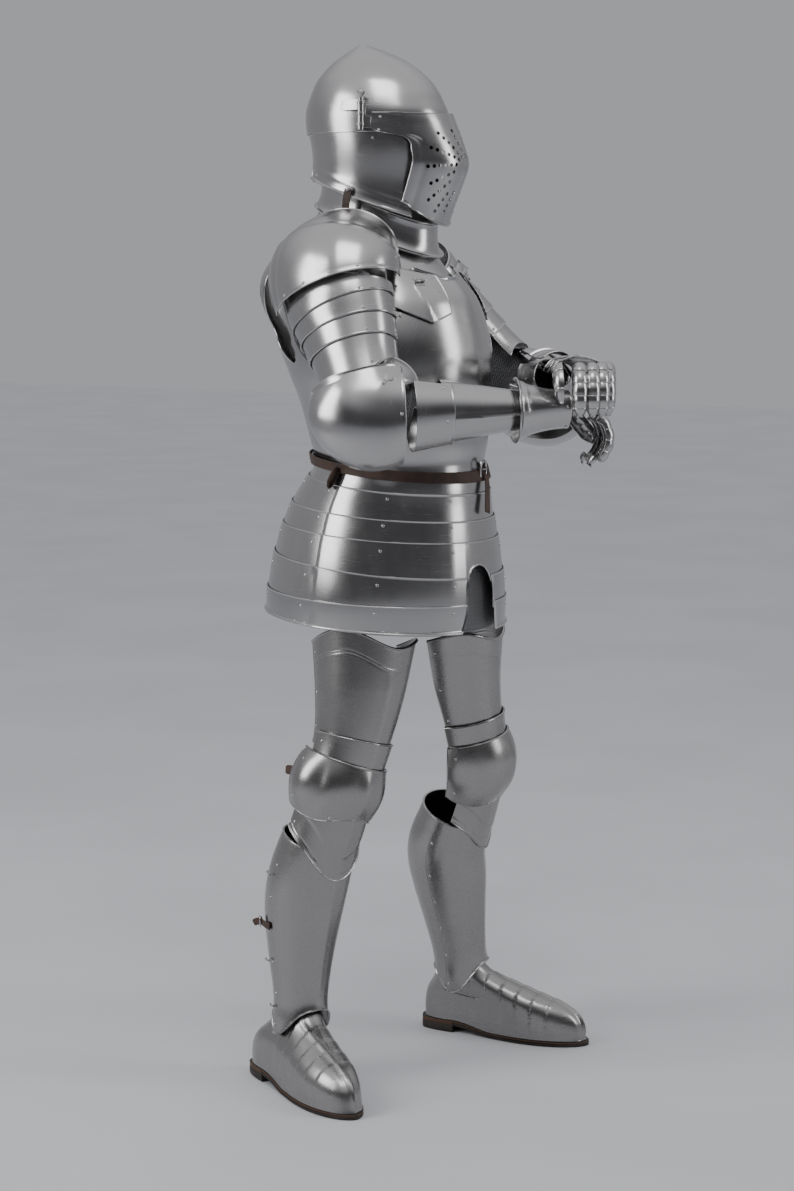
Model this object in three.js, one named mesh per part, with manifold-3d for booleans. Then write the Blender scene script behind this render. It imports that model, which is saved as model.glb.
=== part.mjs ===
// A worn suit of plate armour: closed helmet, gorget, cuirass with fauld, arms, gauntlets and legs.
// Millimetres, +Z up, the wearer faces -Y.  Every plate is a thin patch of a hollow round form:
// plates that overlap share one form and its facets, and lie one layer above the other.
import * as THREE from 'three';
import { mergeVertices } from 'three/addons/utils/BufferGeometryUtils.js';
import Module from 'manifold-3d';

const wasm = await Module();
wasm.setup();

// ---- driving dimensions ----
const ORIGIN = [0, 40, 1460];      // between the shoulders, where the wearer carries the suit
const WALL = 1.5;                  // steel plate
const FINGER_WALL = 1.4;
const PITCH = 3.6;                 // rise from one plate to the one lying over it
const MAIL_WALL = 2.2;
const MAIL_DROP = 15;              // how far the mail hangs inside the plates
const LEATHER_WALL = 2.6;
const LIMB_STEP = 20;              // degrees between facets on arms and legs
const TORSO_STEP = 12;             // degrees between facets on the body
const HEAD_STEP = 15;
const HELMET_TURN = 10;            // degrees the head looks to its left
const APEX = 1888;                 // top of the skull
const BOWL_RIM = 1727;             // where the bowl laps the wall of the skull
const VISOR_SIGHT_TOP = 1761;      // height of the visor's upper edge
const HELMET_RIM = 1607;           // mean height of the lower rim
const HELMET_RIM_TILT = 44;        // rear rim above the mean, front rim below it
const COLLAR_FOOT = 1553;
const COLLAR_HEIGHT = 68;
const YOKE_DEPTHS = [3.4, 14.4];   // how far the yoke lies inside the cuirass, at the neck and at its foot
const BELT_TOP = 1141;
const BELT_WIDTH = 20;
const FAULD_EDGES = [1138, 1101, 1053, 1015, 958, 900, 850];   // upper edges, waist down, and the hem
const FAULD_LAP = 13;              // how far each lame runs on under the next one down
const FAULD_ROWS = [3, 3, 2, 2, 1, 1];
const FAULD_TILTS = [16, 15, 15, 14, 20, 10, 14];              // how much lower the front runs
const SLOT = { centre: -23, half: 36, foot: 62, crown: 957, spring: 915 };
const SOLE_THICKNESS = 9;
const HEEL_HEIGHT = 19;

const MATERIALS = {
  steel: { color: 0x9c9ea2, roughness: 0.32, metalness: 1 },
  mail: { color: 0x3a3b3e, roughness: 0.6, metalness: 0.9 },
  leather: { color: 0x3b2418, roughness: 0.62, metalness: 0 },
  sole: { color: 0x231814, roughness: 0.7, metalness: 0 },
};

// ---- vectors and tables ----
const RAD = Math.PI / 180;
const vec = (p) => new THREE.Vector3(...p);
const lerp = (a, b, t) => a + (b - a) * t;
const clamp01 = (t) => Math.min(1, Math.max(0, t));

/** Slope of a table's column at row i, from the rows beside it. */
function slope(rows, i, col) {
  const a = rows[Math.max(0, i - 1)];
  const b = rows[Math.min(rows.length - 1, i + 1)];
  return (b[col] - a[col]) / (b[0] - a[0]);
}

/** Smooth curve through a table whose rows are [s, value, value, ...]. */
function curve(rows) {
  return (s) => {
    let i = 0;
    while (i < rows.length - 2 && s > rows[i + 1][0]) i += 1;
    const [a, b] = [rows[i], rows[i + 1]];
    const span = b[0] - a[0];
    const t = (s - a[0]) / span;
    return a.slice(1).map((value, k) => {
      const m0 = slope(rows, i, k + 1) * span;
      const m1 = slope(rows, i + 1, k + 1) * span;
      if (t < 0) return value + m0 * t;
      if (t > 1) return b[k + 1] + m1 * (t - 1);
      const u = t * t * (3 - 2 * t);
      return lerp(value, b[k + 1], u) + m0 * t * (1 - t) ** 2 - m1 * t * t * (1 - t);
    });
  };
}

/** Straight-line table lookup by angle, the same on both sides of the front. */
function byAngle(rows) {
  return (phi) => {
    const x = Math.abs(((phi + 540) % 360) - 180);
    let i = 0;
    while (i < rows.length - 2 && x > rows[i + 1][0]) i += 1;
    return lerp(rows[i][1], rows[i + 1][1], clamp01((x - rows[i][0]) / (rows[i + 1][0] - rows[i][0])));
  };
}

// ---- hollow round forms ----
/**
 * A hollow form along a path.  path rows are [s, x, y, z]; size rows are [s, side, front, back].
 * phi is 0 at the front and 90 degrees at the outer side; tilt(s) slides the front down the path,
 * and a level form keeps its sections horizontal.
 */
function form({ path, size, front, hand, tilt, level = false }) {
  const centre = curve(path);
  const girth = curve(size);
  const frontRef = vec(front).normalize();
  function frame(s) {
    const ahead = vec(centre(s + 0.5));
    const behind = vec(centre(s - 0.5));
    const along = level ? new THREE.Vector3(0, 0, 1) : ahead.sub(behind).normalize();
    const fore = frontRef.clone().addScaledVector(along, -frontRef.dot(along)).normalize();
    const side = new THREE.Vector3().crossVectors(along, fore).multiplyScalar(hand);
    return { at: vec(centre(s)), along, fore, side };
  }
  function skin(s, phi) {
    const { at, along, fore, side } = frame(s);
    const [wide, ahead, behind] = girth(s);
    const [c, n] = [Math.cos(phi * RAD), Math.sin(phi * RAD)];
    at.addScaledVector(fore, c * (c > 0 ? ahead : behind)).addScaledVector(side, n * wide);
    return tilt ? at.addScaledVector(along, -tilt(s)[0] * c) : at;
  }
  function place(s, phi, lift) {
    const at = skin(s, phi);
    const round = skin(s, phi + 1).sub(skin(s, phi - 1));
    const down = skin(s + 1, phi).sub(skin(s - 1, phi));
    const out = round.cross(down).normalize();
    const core = frame(s).at;
    if (out.dot(at.clone().sub(core)) < 0) out.negate();
    return at.addScaledVector(out, lift);
  }
  return { place };
}

// ---- closed bodies ----
const triangles = (a, b, c, d) => [[a, b, c], [a, c, d]];

/** Bands of triangles between the rows of a grid of points. */
function skinFaces(grid, closed) {
  const faces = [];
  const cols = grid[0].length;
  for (let j = 0; j + 1 < grid.length; j += 1) {
    for (let i = 0; i + (closed ? 0 : 1) < cols; i += 1) {
      const k = (i + 1) % cols;
      faces.push(...triangles(grid[j][i], grid[j][k], grid[j + 1][k], grid[j + 1][i]));
    }
  }
  return faces;
}

const flip = (faces) => faces.map(([a, b, c]) => [a, c, b]);

/** Geometry of a closed surface, turned so that it faces outwards. */
function bodyOf(faces) {
  const real = faces.filter(([a, b, c]) => {
    const area = new THREE.Vector3().subVectors(b, a).cross(new THREE.Vector3().subVectors(c, a));
    return area.length() > 1e-3;
  });
  let volume = 0;
  for (const [a, b, c] of real) volume += a.dot(new THREE.Vector3().crossVectors(b, c));
  const outward = volume < 0 ? flip(real) : real;
  const data = new Float32Array(outward.flat().flatMap((p) => [p.x, p.y, p.z]));
  const soup = new THREE.BufferGeometry();
  soup.setAttribute('position', new THREE.BufferAttribute(data, 3));
  return mergeVertices(soup, 1e-3);
}

/** A plate of even thickness: at(u, v, lift) gives its points, u round it and v down it. */
function plate(at, { cols, rows, lift = () => 0, wall = WALL, closed = false }) {
  const sheet = (drop) => {
    const grid = [];
    for (let j = 0; j <= rows; j += 1) {
      const v = j / rows;
      const line = [];
      for (let i = 0; i <= cols - (closed ? 1 : 0); i += 1) {
        line.push(at(i / cols, v, lift(v) - drop).sub(vec(ORIGIN)));
      }
      grid.push(line);
    }
    return grid;
  };
  const outer = sheet(0);
  const inner = sheet(wall);
  const faces = [...skinFaces(outer, closed), ...flip(skinFaces(inner, closed))];
  faces.push(...skinFaces([inner[0], outer[0]], closed));
  faces.push(...skinFaces([outer[rows], inner[rows]], closed));
  if (!closed) {
    const left = [outer.map((line) => line[0]), inner.map((line) => line[0])];
    const right = [inner.map((line) => line[cols]), outer.map((line) => line[cols])];
    faces.push(...skinFaces(left, false), ...skinFaces(right, false));
  }
  return bodyOf(faces);
}

/** A plate on a form, between two angles and two edges that may vary with the angle. */
function formPlate(shape, { from, to, top, bottom, step, rows = 1, ...rest }) {
  const closed = to - from === 360;
  const edge = (value, phi) => (typeof value === 'function' ? value(phi) : value);
  const at = (u, v, lift) => {
    const phi = lerp(from, to, u);
    return shape.place(lerp(edge(top, phi), edge(bottom, phi), v), phi, lift);
  };
  return plate(at, { cols: Math.round((to - from) / step), rows, closed, ...rest });
}

function solidOf(geometry) {
  const { position } = geometry.attributes;
  return new wasm.Manifold(new wasm.Mesh({
    numProp: 3, vertProperties: position.array, triVerts: new Uint32Array(geometry.index.array),
  }));
}

function geometryOf(solid) {
  const mesh = solid.getMesh();
  const geometry = new THREE.BufferGeometry();
  geometry.setAttribute('position', new THREE.BufferAttribute(new Float32Array(mesh.vertProperties), 3));
  geometry.setIndex([...mesh.triVerts]);
  return geometry;
}

const suit = new THREE.Group();
suit.name = 'plate_armour';

function add(name, kind, geometry) {
  geometry.computeVertexNormals();
  const mesh = new THREE.Mesh(geometry, new THREE.MeshStandardMaterial(MATERIALS[kind]));
  mesh.name = name;
  suit.add(mesh);
}

/** A plate edge that runs lower at the front by the given tilt. */
const tilted = (mean, tilt) => (phi) => mean - tilt * Math.cos(phi * RAD);
const outwardDown = (v) => PITCH * v;          // lower edge stands out over the next plate
const outwardUp = (v) => PITCH * (1 - v);      // upper edge stands out over the plate above

// ---- cuirass and gorget ----
const torso = form({
  path: [[1090, 0, 0, 1090], [1128, 0, 1, 1128], [1173, 0, 3, 1173], [1245, 0, 9, 1245],
    [1300, 0, 19, 1300], [1357, 0, 28, 1357], [1429, 0, 34, 1429], [1487, 0, 39, 1487],
    [1530, 0, 43, 1530], [1565, 0, 45, 1565], [1640, 0, 45, 1640]],
  size: [[1090, 162, 156, 156], [1128, 158, 152, 152], [1173, 166, 163, 164], [1245, 180, 171, 178],
    [1300, 190, 184, 192], [1357, 190, 190, 206], [1429, 168, 174, 196], [1487, 142, 144, 172],
    [1530, 112, 126, 138], [1565, 90, 116, 114], [1640, 88, 113, 111]],
  tilt: curve([[1400, 0], [1430, 0], [1487, 14], [1530, 38], [1560, 52], [1640, 52]]),
  front: [0, -1, 0],
  hand: -1,
  level: true,
});

const breastTop = byAngle([[0, 1482], [24, 1500], [36, 1506], [48, 1440], [60, 1375], [72, 1322], [96, 1280]]);
const backTop = byAngle([[84, 1284], [108, 1330], [120, 1390], [132, 1450], [144, 1480], [180, 1496]]);
const yokeFoot = byAngle([[0, 1474], [60, 1490], [90, 1508], [120, 1492], [180, 1474]]);
const waistEdge = tilted(1126, 15);

function buildCuirass() {
  const shared = { step: TORSO_STEP, bottom: waistEdge, rows: 5 };
  add('breastplate', 'steel', formPlate(torso, { ...shared, from: -96, to: 96, top: breastTop }));
  const under = { lift: () => -PITCH };
  add('backplate', 'steel', formPlate(torso, { ...shared, from: 84, to: 276, top: backTop, ...under }));
}

function buildGorget() {
  const ring = { from: 0, to: 360, step: 2 * TORSO_STEP };
  add('gorget_collar', 'steel', formPlate(torso, {
    ...ring, top: COLLAR_FOOT + COLLAR_HEIGHT, bottom: COLLAR_FOOT,
  }));
  add('gorget_yoke', 'steel', formPlate(torso, {
    ...ring, top: COLLAR_FOOT + 11, bottom: yokeFoot, rows: 3, lift: (v) => -lerp(...YOKE_DEPTHS, v),
  }));
}

// ---- fauld, mail skirt and belt ----
const hips = form({
  path: [[840, 0, 33, 840], [900, 0, 31, 900], [955, 0, 29, 955], [1008, 0, 26, 1008],
    [1063, 0, 19, 1063], [1101, 0, 8, 1101], [1128, 0, 1, 1128], [1150, 0, 1, 1150]],
  size: [[840, 220, 222, 222], [900, 217, 219, 219], [955, 207, 211, 211], [1008, 194, 200, 200],
    [1063, 178, 184, 184], [1101, 168, 168, 168], [1128, 160, 154, 154], [1150, 162, 156, 156]],
  front: [0, -1, 0],
  hand: -1,
  level: true,
});

/** A straight block between two outlines with the same number of points. */
function block(near, far, caps) {
  const faces = skinFaces([near, far], true);
  for (const [a, b, c] of caps) {
    faces.push([near[a], near[c], near[b]], [far[a], far[b], far[c]]);
  }
  return bodyOf(faces);
}

/** The arched opening cut up the front of the fauld. */
function slotCutter() {
  const { centre, half, foot, crown, spring } = SLOT;
  const outline = [[centre - foot, 790], [centre - half - 4, 872]];
  for (let a = 180; a >= 0; a -= 30) {
    outline.push([centre + half * Math.cos(a * RAD), spring + (crown - spring) * Math.sin(a * RAD)]);
  }
  outline.push([centre + half + 4, 872], [centre + foot, 790]);
  outline.reverse();
  const ring = (y) => outline.map(([x, z]) => vec([x, y, z]).sub(vec(ORIGIN)));
  const flat = outline.map(([x, z]) => new THREE.Vector2(x, z));
  return solidOf(block(ring(-400), ring(-60), THREE.ShapeUtils.triangulateShape(flat, [])));
}

function buildFauld() {
  const slot = slotCutter();
  for (let i = 0; i + 1 < FAULD_EDGES.length; i += 1) {
    const lap = i + 2 < FAULD_EDGES.length ? FAULD_LAP : 0;
    const lame = formPlate(hips, {
      from: 0,
      to: 360,
      step: TORSO_STEP,
      top: tilted(FAULD_EDGES[i], FAULD_TILTS[i]),
      bottom: tilted(FAULD_EDGES[i + 1] - lap, FAULD_TILTS[i + 1]),
      lift: outwardUp,
      rows: FAULD_ROWS[i],
    });
    add(`fauld_lame_${i + 1}`, 'steel', i < 3 ? lame : geometryOf(solidOf(lame).subtract(slot)));
  }
  add('mail_skirt', 'mail', formPlate(hips, {
    from: 0,
    to: 360,
    step: 2 * TORSO_STEP,
    top: 1062,
    bottom: tilted(852, 14),
    rows: 3,
    lift: () => -MAIL_DROP,
    wall: MAIL_WALL,
  }));
  add('belt', 'leather', formPlate(hips, {
    from: 0,
    to: 360,
    step: TORSO_STEP,
    top: tilted(BELT_TOP, 17),
    bottom: tilted(BELT_TOP - BELT_WIDTH, 17),
    lift: () => PITCH + WALL + LEATHER_WALL,
    wall: LEATHER_WALL,
  }));
}

// ---- helmet ----
const headTurn = HELMET_TURN * RAD;
const headFront = [Math.sin(headTurn), -Math.cos(headTurn), 0];
const skull = form({
  path: [[1560, 0, 42, 1560], [1637, 0, 42, 1637], [1700, 0, 42, 1700], [1734, 0, 46, 1734],
    [1762, 0, 49, 1762], [1778, 0, 51, 1778], [1801, 0, 53, 1801], [1825, 0, 57, 1825],
    [1853, 0, 63, 1853], [1872, 0, 71, 1872], [1881, 0, 77, 1881], [APEX, 0, 80, APEX]],
  size: [[1560, 99, 125, 125], [1637, 99, 123, 123], [1700, 103, 128, 128], [1734, 104, 131, 131],
    [1762, 103, 130, 130], [1778, 100, 125, 125], [1801, 92, 115, 115], [1825, 79, 99, 99],
    [1853, 54, 67, 67], [1872, 27, 32, 32], [1881, 11, 13, 13], [APEX, 0.01, 0.01, 0.01]],
  front: headFront,
  hand: -1,
  level: true,
});

const visorForm = form({
  path: [[1540, 0, 42, 1540], [1800, 0, 42, 1800]],
  size: [[1540, 106, 120, 124], [1562, 106, 127, 127], [1600, 107, 140, 127], [1640, 109, 157, 130],
    [1672, 110, 167, 132], [1700, 111, 160, 134], [1740, 112.5, 144, 134], [1762, 112.5, 135, 133],
    [1800, 100, 120, 120]],
  front: headFront,
  hand: -1,
  level: true,
});

/** Rows of the visor: height at the middle, height at its rear edge, and how far round it reaches. */
const VISOR_ROWS = [[VISOR_SIGHT_TOP, 1762, 78], [1738, 1731, 78], [1712, 1716, 56], [1674, 1690, 54],
  [1638, 1660, 55], [1600, 1630, 56], [1562, 1604, 57]];

function buildHelmet() {
  const depth = APEX - BOWL_RIM;
  const dome = (u, v, lift) => skull.place(APEX - depth * (1 - Math.cos(v * 90 * RAD)), 360 * u, lift);
  add('skull_bowl', 'steel', plate(dome, {
    cols: 360 / HEAD_STEP, rows: 6, closed: true, lift: () => PITCH,
  }));
  add('skull_wall', 'steel', formPlate(skull, {
    from: 45, to: 315, step: HEAD_STEP, rows: 2,
    top: BOWL_RIM + 14, bottom: tilted(HELMET_RIM, HELMET_RIM_TILT),
  }));
  const face = (u, v, lift) => {
    const [middle, rear, reach] = VISOR_ROWS[Math.round(v * (VISOR_ROWS.length - 1))];
    const across = 2 * u - 1;
    return visorForm.place(lerp(middle, rear, across ** 2), reach * across, lift);
  };
  add('visor', 'steel', plate(face, { cols: 12, rows: VISOR_ROWS.length - 1 }));
}

// ---- arms ----
const ARMS = {
  right: {
    hand: 1,
    neck: [-86, 34, 1534],
    ridge: [-138, 27, 1517],
    shoulder: [-190, 14, 1482],
    elbow: [-262, -100, 1240],
    wrist: [-69, -320, 1244],
    besagew: [18, 56],
  },
  left: {
    hand: -1,
    neck: [106, 66, 1520],
    ridge: [140, 72, 1484],
    shoulder: [176, 74, 1434],
    elbow: [290, -118, 1240],
    wrist: [64, -278, 1296],
    besagew: [-34, -58],
  },
};

/** The forms of one arm: shoulder to elbow, the bent elbow, elbow to wrist, and the mail inside. */
function armForms({ hand, neck, ridge, shoulder, elbow, wrist }) {
  const [s, e, w] = [shoulder, elbow, wrist].map(vec);
  const upper = e.clone().sub(s).normalize();
  const fore = w.clone().sub(e).normalize();
  const away = upper.clone().sub(fore).normalize();
  const hinge = upper.clone().cross(fore).normalize().multiplyScalar(hand).toArray();
  const reach = s.distanceTo(e);
  const on = (base, dir, d, out = 0) => base.clone().addScaledVector(dir, d)
    .addScaledVector(away, out).toArray();
  const arm = form({
    path: [[-125, ...neck], [-62, ...ridge], [0, ...shoulder], [60, ...on(s, upper, 60, 4)],
      [120, ...on(s, upper, 120)], [reach, ...elbow]],
    size: [[-125, 52, 62, 70], [-62, 66, 90, 98], [0, 78, 104, 110], [60, 78, 96, 102], [120, 71, 84, 90],
      [190, 64, 70, 74], [292, 58, 62, 64]],
    front: [0, -1, 0],
    hand,
  });
  const bend = form({
    path: [[-90, ...on(e, upper, -90)], [-40, ...on(e, upper, -40)], [0, ...on(e, upper, 0, -8)],
      [40, ...on(e, fore, 40)], [150, ...on(e, fore, 150)]],
    size: [[-90, 66, 66, 66], [-40, 78, 72, 70], [0, 92, 75, 74], [40, 80, 71, 70], [150, 58, 58, 58]],
    front: hinge,
    hand,
  });
  const forearm = form({
    path: [[0, ...elbow], [290, ...wrist], [360, ...on(w, fore, 70)]],
    size: [[0, 72, 68, 66], [60, 68, 62, 60], [140, 53, 52, 50], [193, 45, 44, 44], [255, 35, 36, 38],
      [290, 31, 34, 38], [360, 28, 36, 40]],
    front: hinge,
    hand,
  });
  const sleeve = form({
    path: [[0, ...on(s, upper, 10)], [110, ...on(s, upper, 120)], [190, ...on(e, upper, -75)],
      [240, ...on(e, upper, -28, -14)], [290, ...on(e, fore, 34, -14)], [330, ...on(e, fore, 80)]],
    size: [[0, 46, 54, 58], [110, 47, 52, 54], [190, 47, 49, 51], [240, 50, 50, 50], [290, 50, 48, 48],
      [330, 48, 46, 46]],
    front: hinge,
    hand,
  });
  return { arm, bend, forearm, sleeve };
}

/** The shoulder-blade plate: tucked under the pauldron, it stands far off the shoulder behind it. */
function wingPlate(arm) {
  const at = (u, v, lift) => {
    const phi = lerp(lerp(148, 186, Math.min(1, 1.4 * v)), 200, u);
    const t = clamp01((phi - 158) / 32);
    const stand = 1 + 50 * t * t * (3 - 2 * t);
    return arm.place(lerp(-66, lerp(70, 92, Math.sin(Math.PI * u)), v), phi, lift + stand);
  };
  return plate(at, { cols: 6, rows: 5 });
}

function besagewPlate([near, far]) {
  const hem = (t) => lerp(1390, 1420, Math.abs(t - 0.35) / 0.65);
  const at = (u, v, lift) => {
    const phi = lerp(near, far, u);
    return torso.place(lerp(lerp(1484, 1504, u), hem(u), v), phi, lift);
  };
  return plate(at, { cols: 4, rows: 3, lift: () => PITCH + WALL });
}

// Plates down the upper arm: name, upper edge, lower edge, rows of facets.
const ARM_LAMES = [
  ['arm_lame_1', byAngle([[0, 56], [20, 54], [40, 46], [80, 32]]), 84, 2],
  ['arm_lame_2', 70, 122, 1],
  ['arm_lame_3', 108, 160, 1],
  ['rerebrace', 146, byAngle([[0, 202], [60, 228], [120, 228], [180, 202]]), 1],
];

function buildArm(side, spec) {
  const { arm, bend, forearm, sleeve } = armForms(spec);
  const put = (piece, kind, geometry) => add(`${piece}_${side}`, kind, geometry);
  const outer = { step: LIMB_STEP, lift: outwardDown };
  put('pauldron', 'steel', formPlate(arm, {
    ...outer, from: -20, to: 160, top: -84, bottom: 44, rows: 4, lift: (v) => 2.6 * PITCH + PITCH * v,
  }));
  put('pauldron_wing', 'steel', wingPlate(arm));
  put('pauldron_front', 'steel', besagewPlate(spec.besagew));
  for (const [name, top, bottom, rows] of ARM_LAMES) {
    put(name, 'steel', formPlate(arm, { ...outer, from: -20, to: 180, top, bottom, rows }));
  }
  put('couter', 'steel', formPlate(bend, {
    step: LIMB_STEP, from: -60, to: 220, top: -52, bottom: 52, rows: 4, lift: () => 2 * PITCH + 4.5,
  }));
  put('elbow_lame', 'steel', formPlate(forearm, {
    step: LIMB_STEP, from: -30, to: 210, top: 72, bottom: 140, lift: () => PITCH,
  }));
  put('vambrace', 'steel', formPlate(forearm, {
    step: LIMB_STEP, from: 0, to: 360, top: 122, bottom: 262, rows: 2,
  }));
  put('cuff', 'steel', formPlate(forearm, {
    step: LIMB_STEP, from: -80, to: 260, top: 250, bottom: 348, rows: 2, lift: (v) => 3 + 17 * (1 - v) ** 2,
  }));
  put('mail_sleeve', 'mail', formPlate(sleeve, {
    step: LIMB_STEP, from: 0, to: 360, top: 0, bottom: 325, rows: 7, wall: MAIL_WALL,
  }));
}

// ---- gauntlets ----
const FINGER_GIRTH = [[0, 12.5, 12, 12], [55, 12.5, 12, 12], [90, 11, 11, 11], [112, 4, 4, 4]];

/** A finger guard: a half-round tapering tube along its five joints. */
function fingerGuard(joints, back, wide = 1) {
  let run = 0;
  const path = joints.map((p, i) => {
    if (i > 0) run += vec(p).distanceTo(vec(joints[i - 1]));
    return [run, ...p];
  });
  const girth = FINGER_GIRTH.map(([s, ...r]) => [(s / 112) * run, ...r.map((x) => x * wide)]);
  const shape = form({ path, size: girth, front: back, hand: 1 });
  return formPlate(shape, { from: -100, to: 100, step: 40, top: 0, bottom: run, rows: 4, wall: FINGER_WALL });
}

const join = (pieces) => geometryOf(pieces.map(solidOf).reduce((a, b) => a.add(b)));

// Points of the hand are [across it, along it, up] from the middle of the knuckles.
const HANDS = {
  right: {
    palm: [[-41, -355, 1243], [-21, -379, 1240], [-3, -400, 1232]],
    up: [0.1, -0.1, 1],
    across: [0.78, 0.62, 0],
    ahead: [0.62, -0.78, 0],
    knuckles: [[-28, 0], [-6, 4], [16, 4], [37, -2]],
    curl: [[0, -6], [10, -14], [17, -38], [9, -62], [-12, -84]],
    thumb: [[27, -36, 6], [35, -24, -8], [33, -8, -28], [24, 6, -46]],
  },
  left: {
    palm: [[4, -322, 1304], [-22, -355, 1313], [-40, -386, 1314]],
    up: [0, 0, 1],
    across: [-0.53, 0.848, 0],
    ahead: [-0.848, -0.53, 0],
    knuckles: [[-52, -14], [-41, -4], [-24, 6], [-2, 12]],
    curl: [[8, 2], [22, -3], [36, -22], [40, -48], [34, -78]],
    thumb: [[24, -26, 4], [30, 6, 4], [28, 34, -18], [26, 38, -56]],
  },
};

function buildHand(side, spec) {
  const [up, across, ahead] = [[0, 0, 1], spec.across, spec.ahead].map(vec);
  const end = vec(spec.palm[2]);
  const spot = (x, y, z) => end.clone().addScaledVector(across, x).addScaledVector(ahead, y)
    .addScaledVector(up, z).toArray();
  const shape = form({
    path: spec.palm.map((p, i) => [30 * i, ...p]),
    size: [[0, 28, 18, 18], [30, 37.5, 21, 21], [60, 46, 21, 21]],
    front: spec.up,
    hand: 1,
  });
  const back = formPlate(shape, { from: -80, to: 80, step: LIMB_STEP, top: 6, bottom: 62, rows: 2 });
  const thumb = fingerGuard(spec.thumb.map(([x, y, z]) => spot(x, y, z)), across.toArray(), 1.1);
  add(`hand_${side}`, 'steel', join([back, thumb]));
  const fingers = spec.knuckles.map(([x, y]) => fingerGuard(
    spec.curl.map(([f, z]) => spot(x, y + f, z)),
    ahead.clone().addScaledVector(up, 1).toArray(),
  ));
  add(`fingers_${side}`, 'steel', join(fingers));
}

// ---- legs ----
const LEGS = {
  right: {
    hand: 1,
    turn: -18,
    heel: [-181, 198],
    toe: [-325, -112],
    path: [[90, -210, 88], [155, -205, 89], [248, -200, 90], [323, -197, 86], [379, -193, 78],
      [437, -190, 62], [495, -186, 42], [560, -178, 24], [642, -160, 4], [731, -140, -1], [830, -118, 3]],
  },
  left: {
    hand: -1,
    turn: 8,
    heel: [226, 80],
    toe: [272, -255],
    path: [[90, 224, -4], [155, 214, -4], [248, 199, 0], [323, 186, 3], [379, 175, 2],
      [437, 170, -18], [495, 162, -42], [560, 150, -66], [642, 135, -62], [731, 120, -53], [830, 106, -52]],
  },
};
const LEG_GIRTH = [[90, 52, 66, 58], [120, 50, 60, 54], [155, 50, 54, 54], [188, 53, 55, 57],
  [248, 62, 62, 66], [323, 72, 72, 78], [379, 76, 74, 80], [437, 74, 70, 74], [495, 68, 66, 66],
  [560, 68, 66, 64], [642, 70, 70, 68], [731, 83, 82, 80], [830, 97, 95, 94]];

function legForm({ hand, turn, path }) {
  return form({
    path: path.map(([z, x, y]) => [z, x, y, z]),
    size: LEG_GIRTH,
    front: [Math.sin(turn * RAD), -Math.cos(turn * RAD), 0],
    hand: -hand,
  });
}

const greaveFoot = byAngle([[0, 146], [40, 136], [80, 100], [100, 100], [140, 132], [180, 138]]);
const cuisseTop = byAngle([[0, 806], [60, 832], [120, 812], [180, 812]]);
const poleynFoot = byAngle([[0, 522], [60, 508], [120, 514]]);
const shinPoint = byAngle([[0, 410], [60, 455], [100, 476]]);

function buildLeg(side, spec) {
  const leg = legForm(spec);
  const put = (piece, geometry) => add(`${piece}_${side}`, 'steel', geometry);
  const outer = { step: LIMB_STEP };
  put('cuisse', formPlate(leg, { ...outer, from: -100, to: 120, top: cuisseTop, bottom: 620, rows: 3 }));
  put('knee_lame', formPlate(leg, {
    ...outer, from: -100, to: 100, top: 650, bottom: 596, lift: () => PITCH + 1,
  }));
  const knee = (v) => 2 * PITCH + 1 + 12 * Math.sin(Math.PI * v);
  put('poleyn', formPlate(leg, {
    ...outer, from: -100, to: 120, top: 612, bottom: poleynFoot, rows: 4, lift: knee,
  }));
  put('shin_lame', formPlate(leg, {
    ...outer, from: -80, to: 100, top: 532, bottom: shinPoint, rows: 2, lift: () => PITCH,
  }));
  const greave = { ...outer, top: 458, bottom: greaveFoot, rows: 6 };
  put('greave_front', formPlate(leg, { ...greave, from: -100, to: 100 }));
  put('greave_back', formPlate(leg, { ...greave, from: 80, to: 280, lift: () => -PITCH }));
}

// ---- sabatons and soles ----
// Half outline of the foot from toe to heel: distance from the heel, half width, angle on the ankle ring.
const FOOT = [[338, 0, 0], [326, 22, 14], [296, 38, 24], [255, 47, 34], [210, 48, 46], [162, 42, 62],
  [115, 36, 86], [72, 34, 110], [36, 31, 134], [10, 20, 158], [0, 0, 180]];
const FOOT_RISE = [[0, 0], [0.05, 0.28], [0.2, 0.45], [0.5, 0.6], [0.82, 0.78], [1, 1]];
const ANKLE = { height: 152, side: 37, front: 37, back: 38 };

/** Height of the top of the sole, from the raised heel down to the tread. */
const soleTop = (along) => lerp(HEEL_HEIGHT + 4, SOLE_THICKNESS, clamp01((along - 70) / 90));

function footAxes({ heel, toe, hand }) {
  const along = vec([toe[0] - heel[0], toe[1] - heel[1], 0]).normalize();
  const side = new THREE.Vector3(-along.y, along.x, 0).multiplyScalar(-hand);
  return { start: vec([heel[0], heel[1], 0]), along, side };
}

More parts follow.
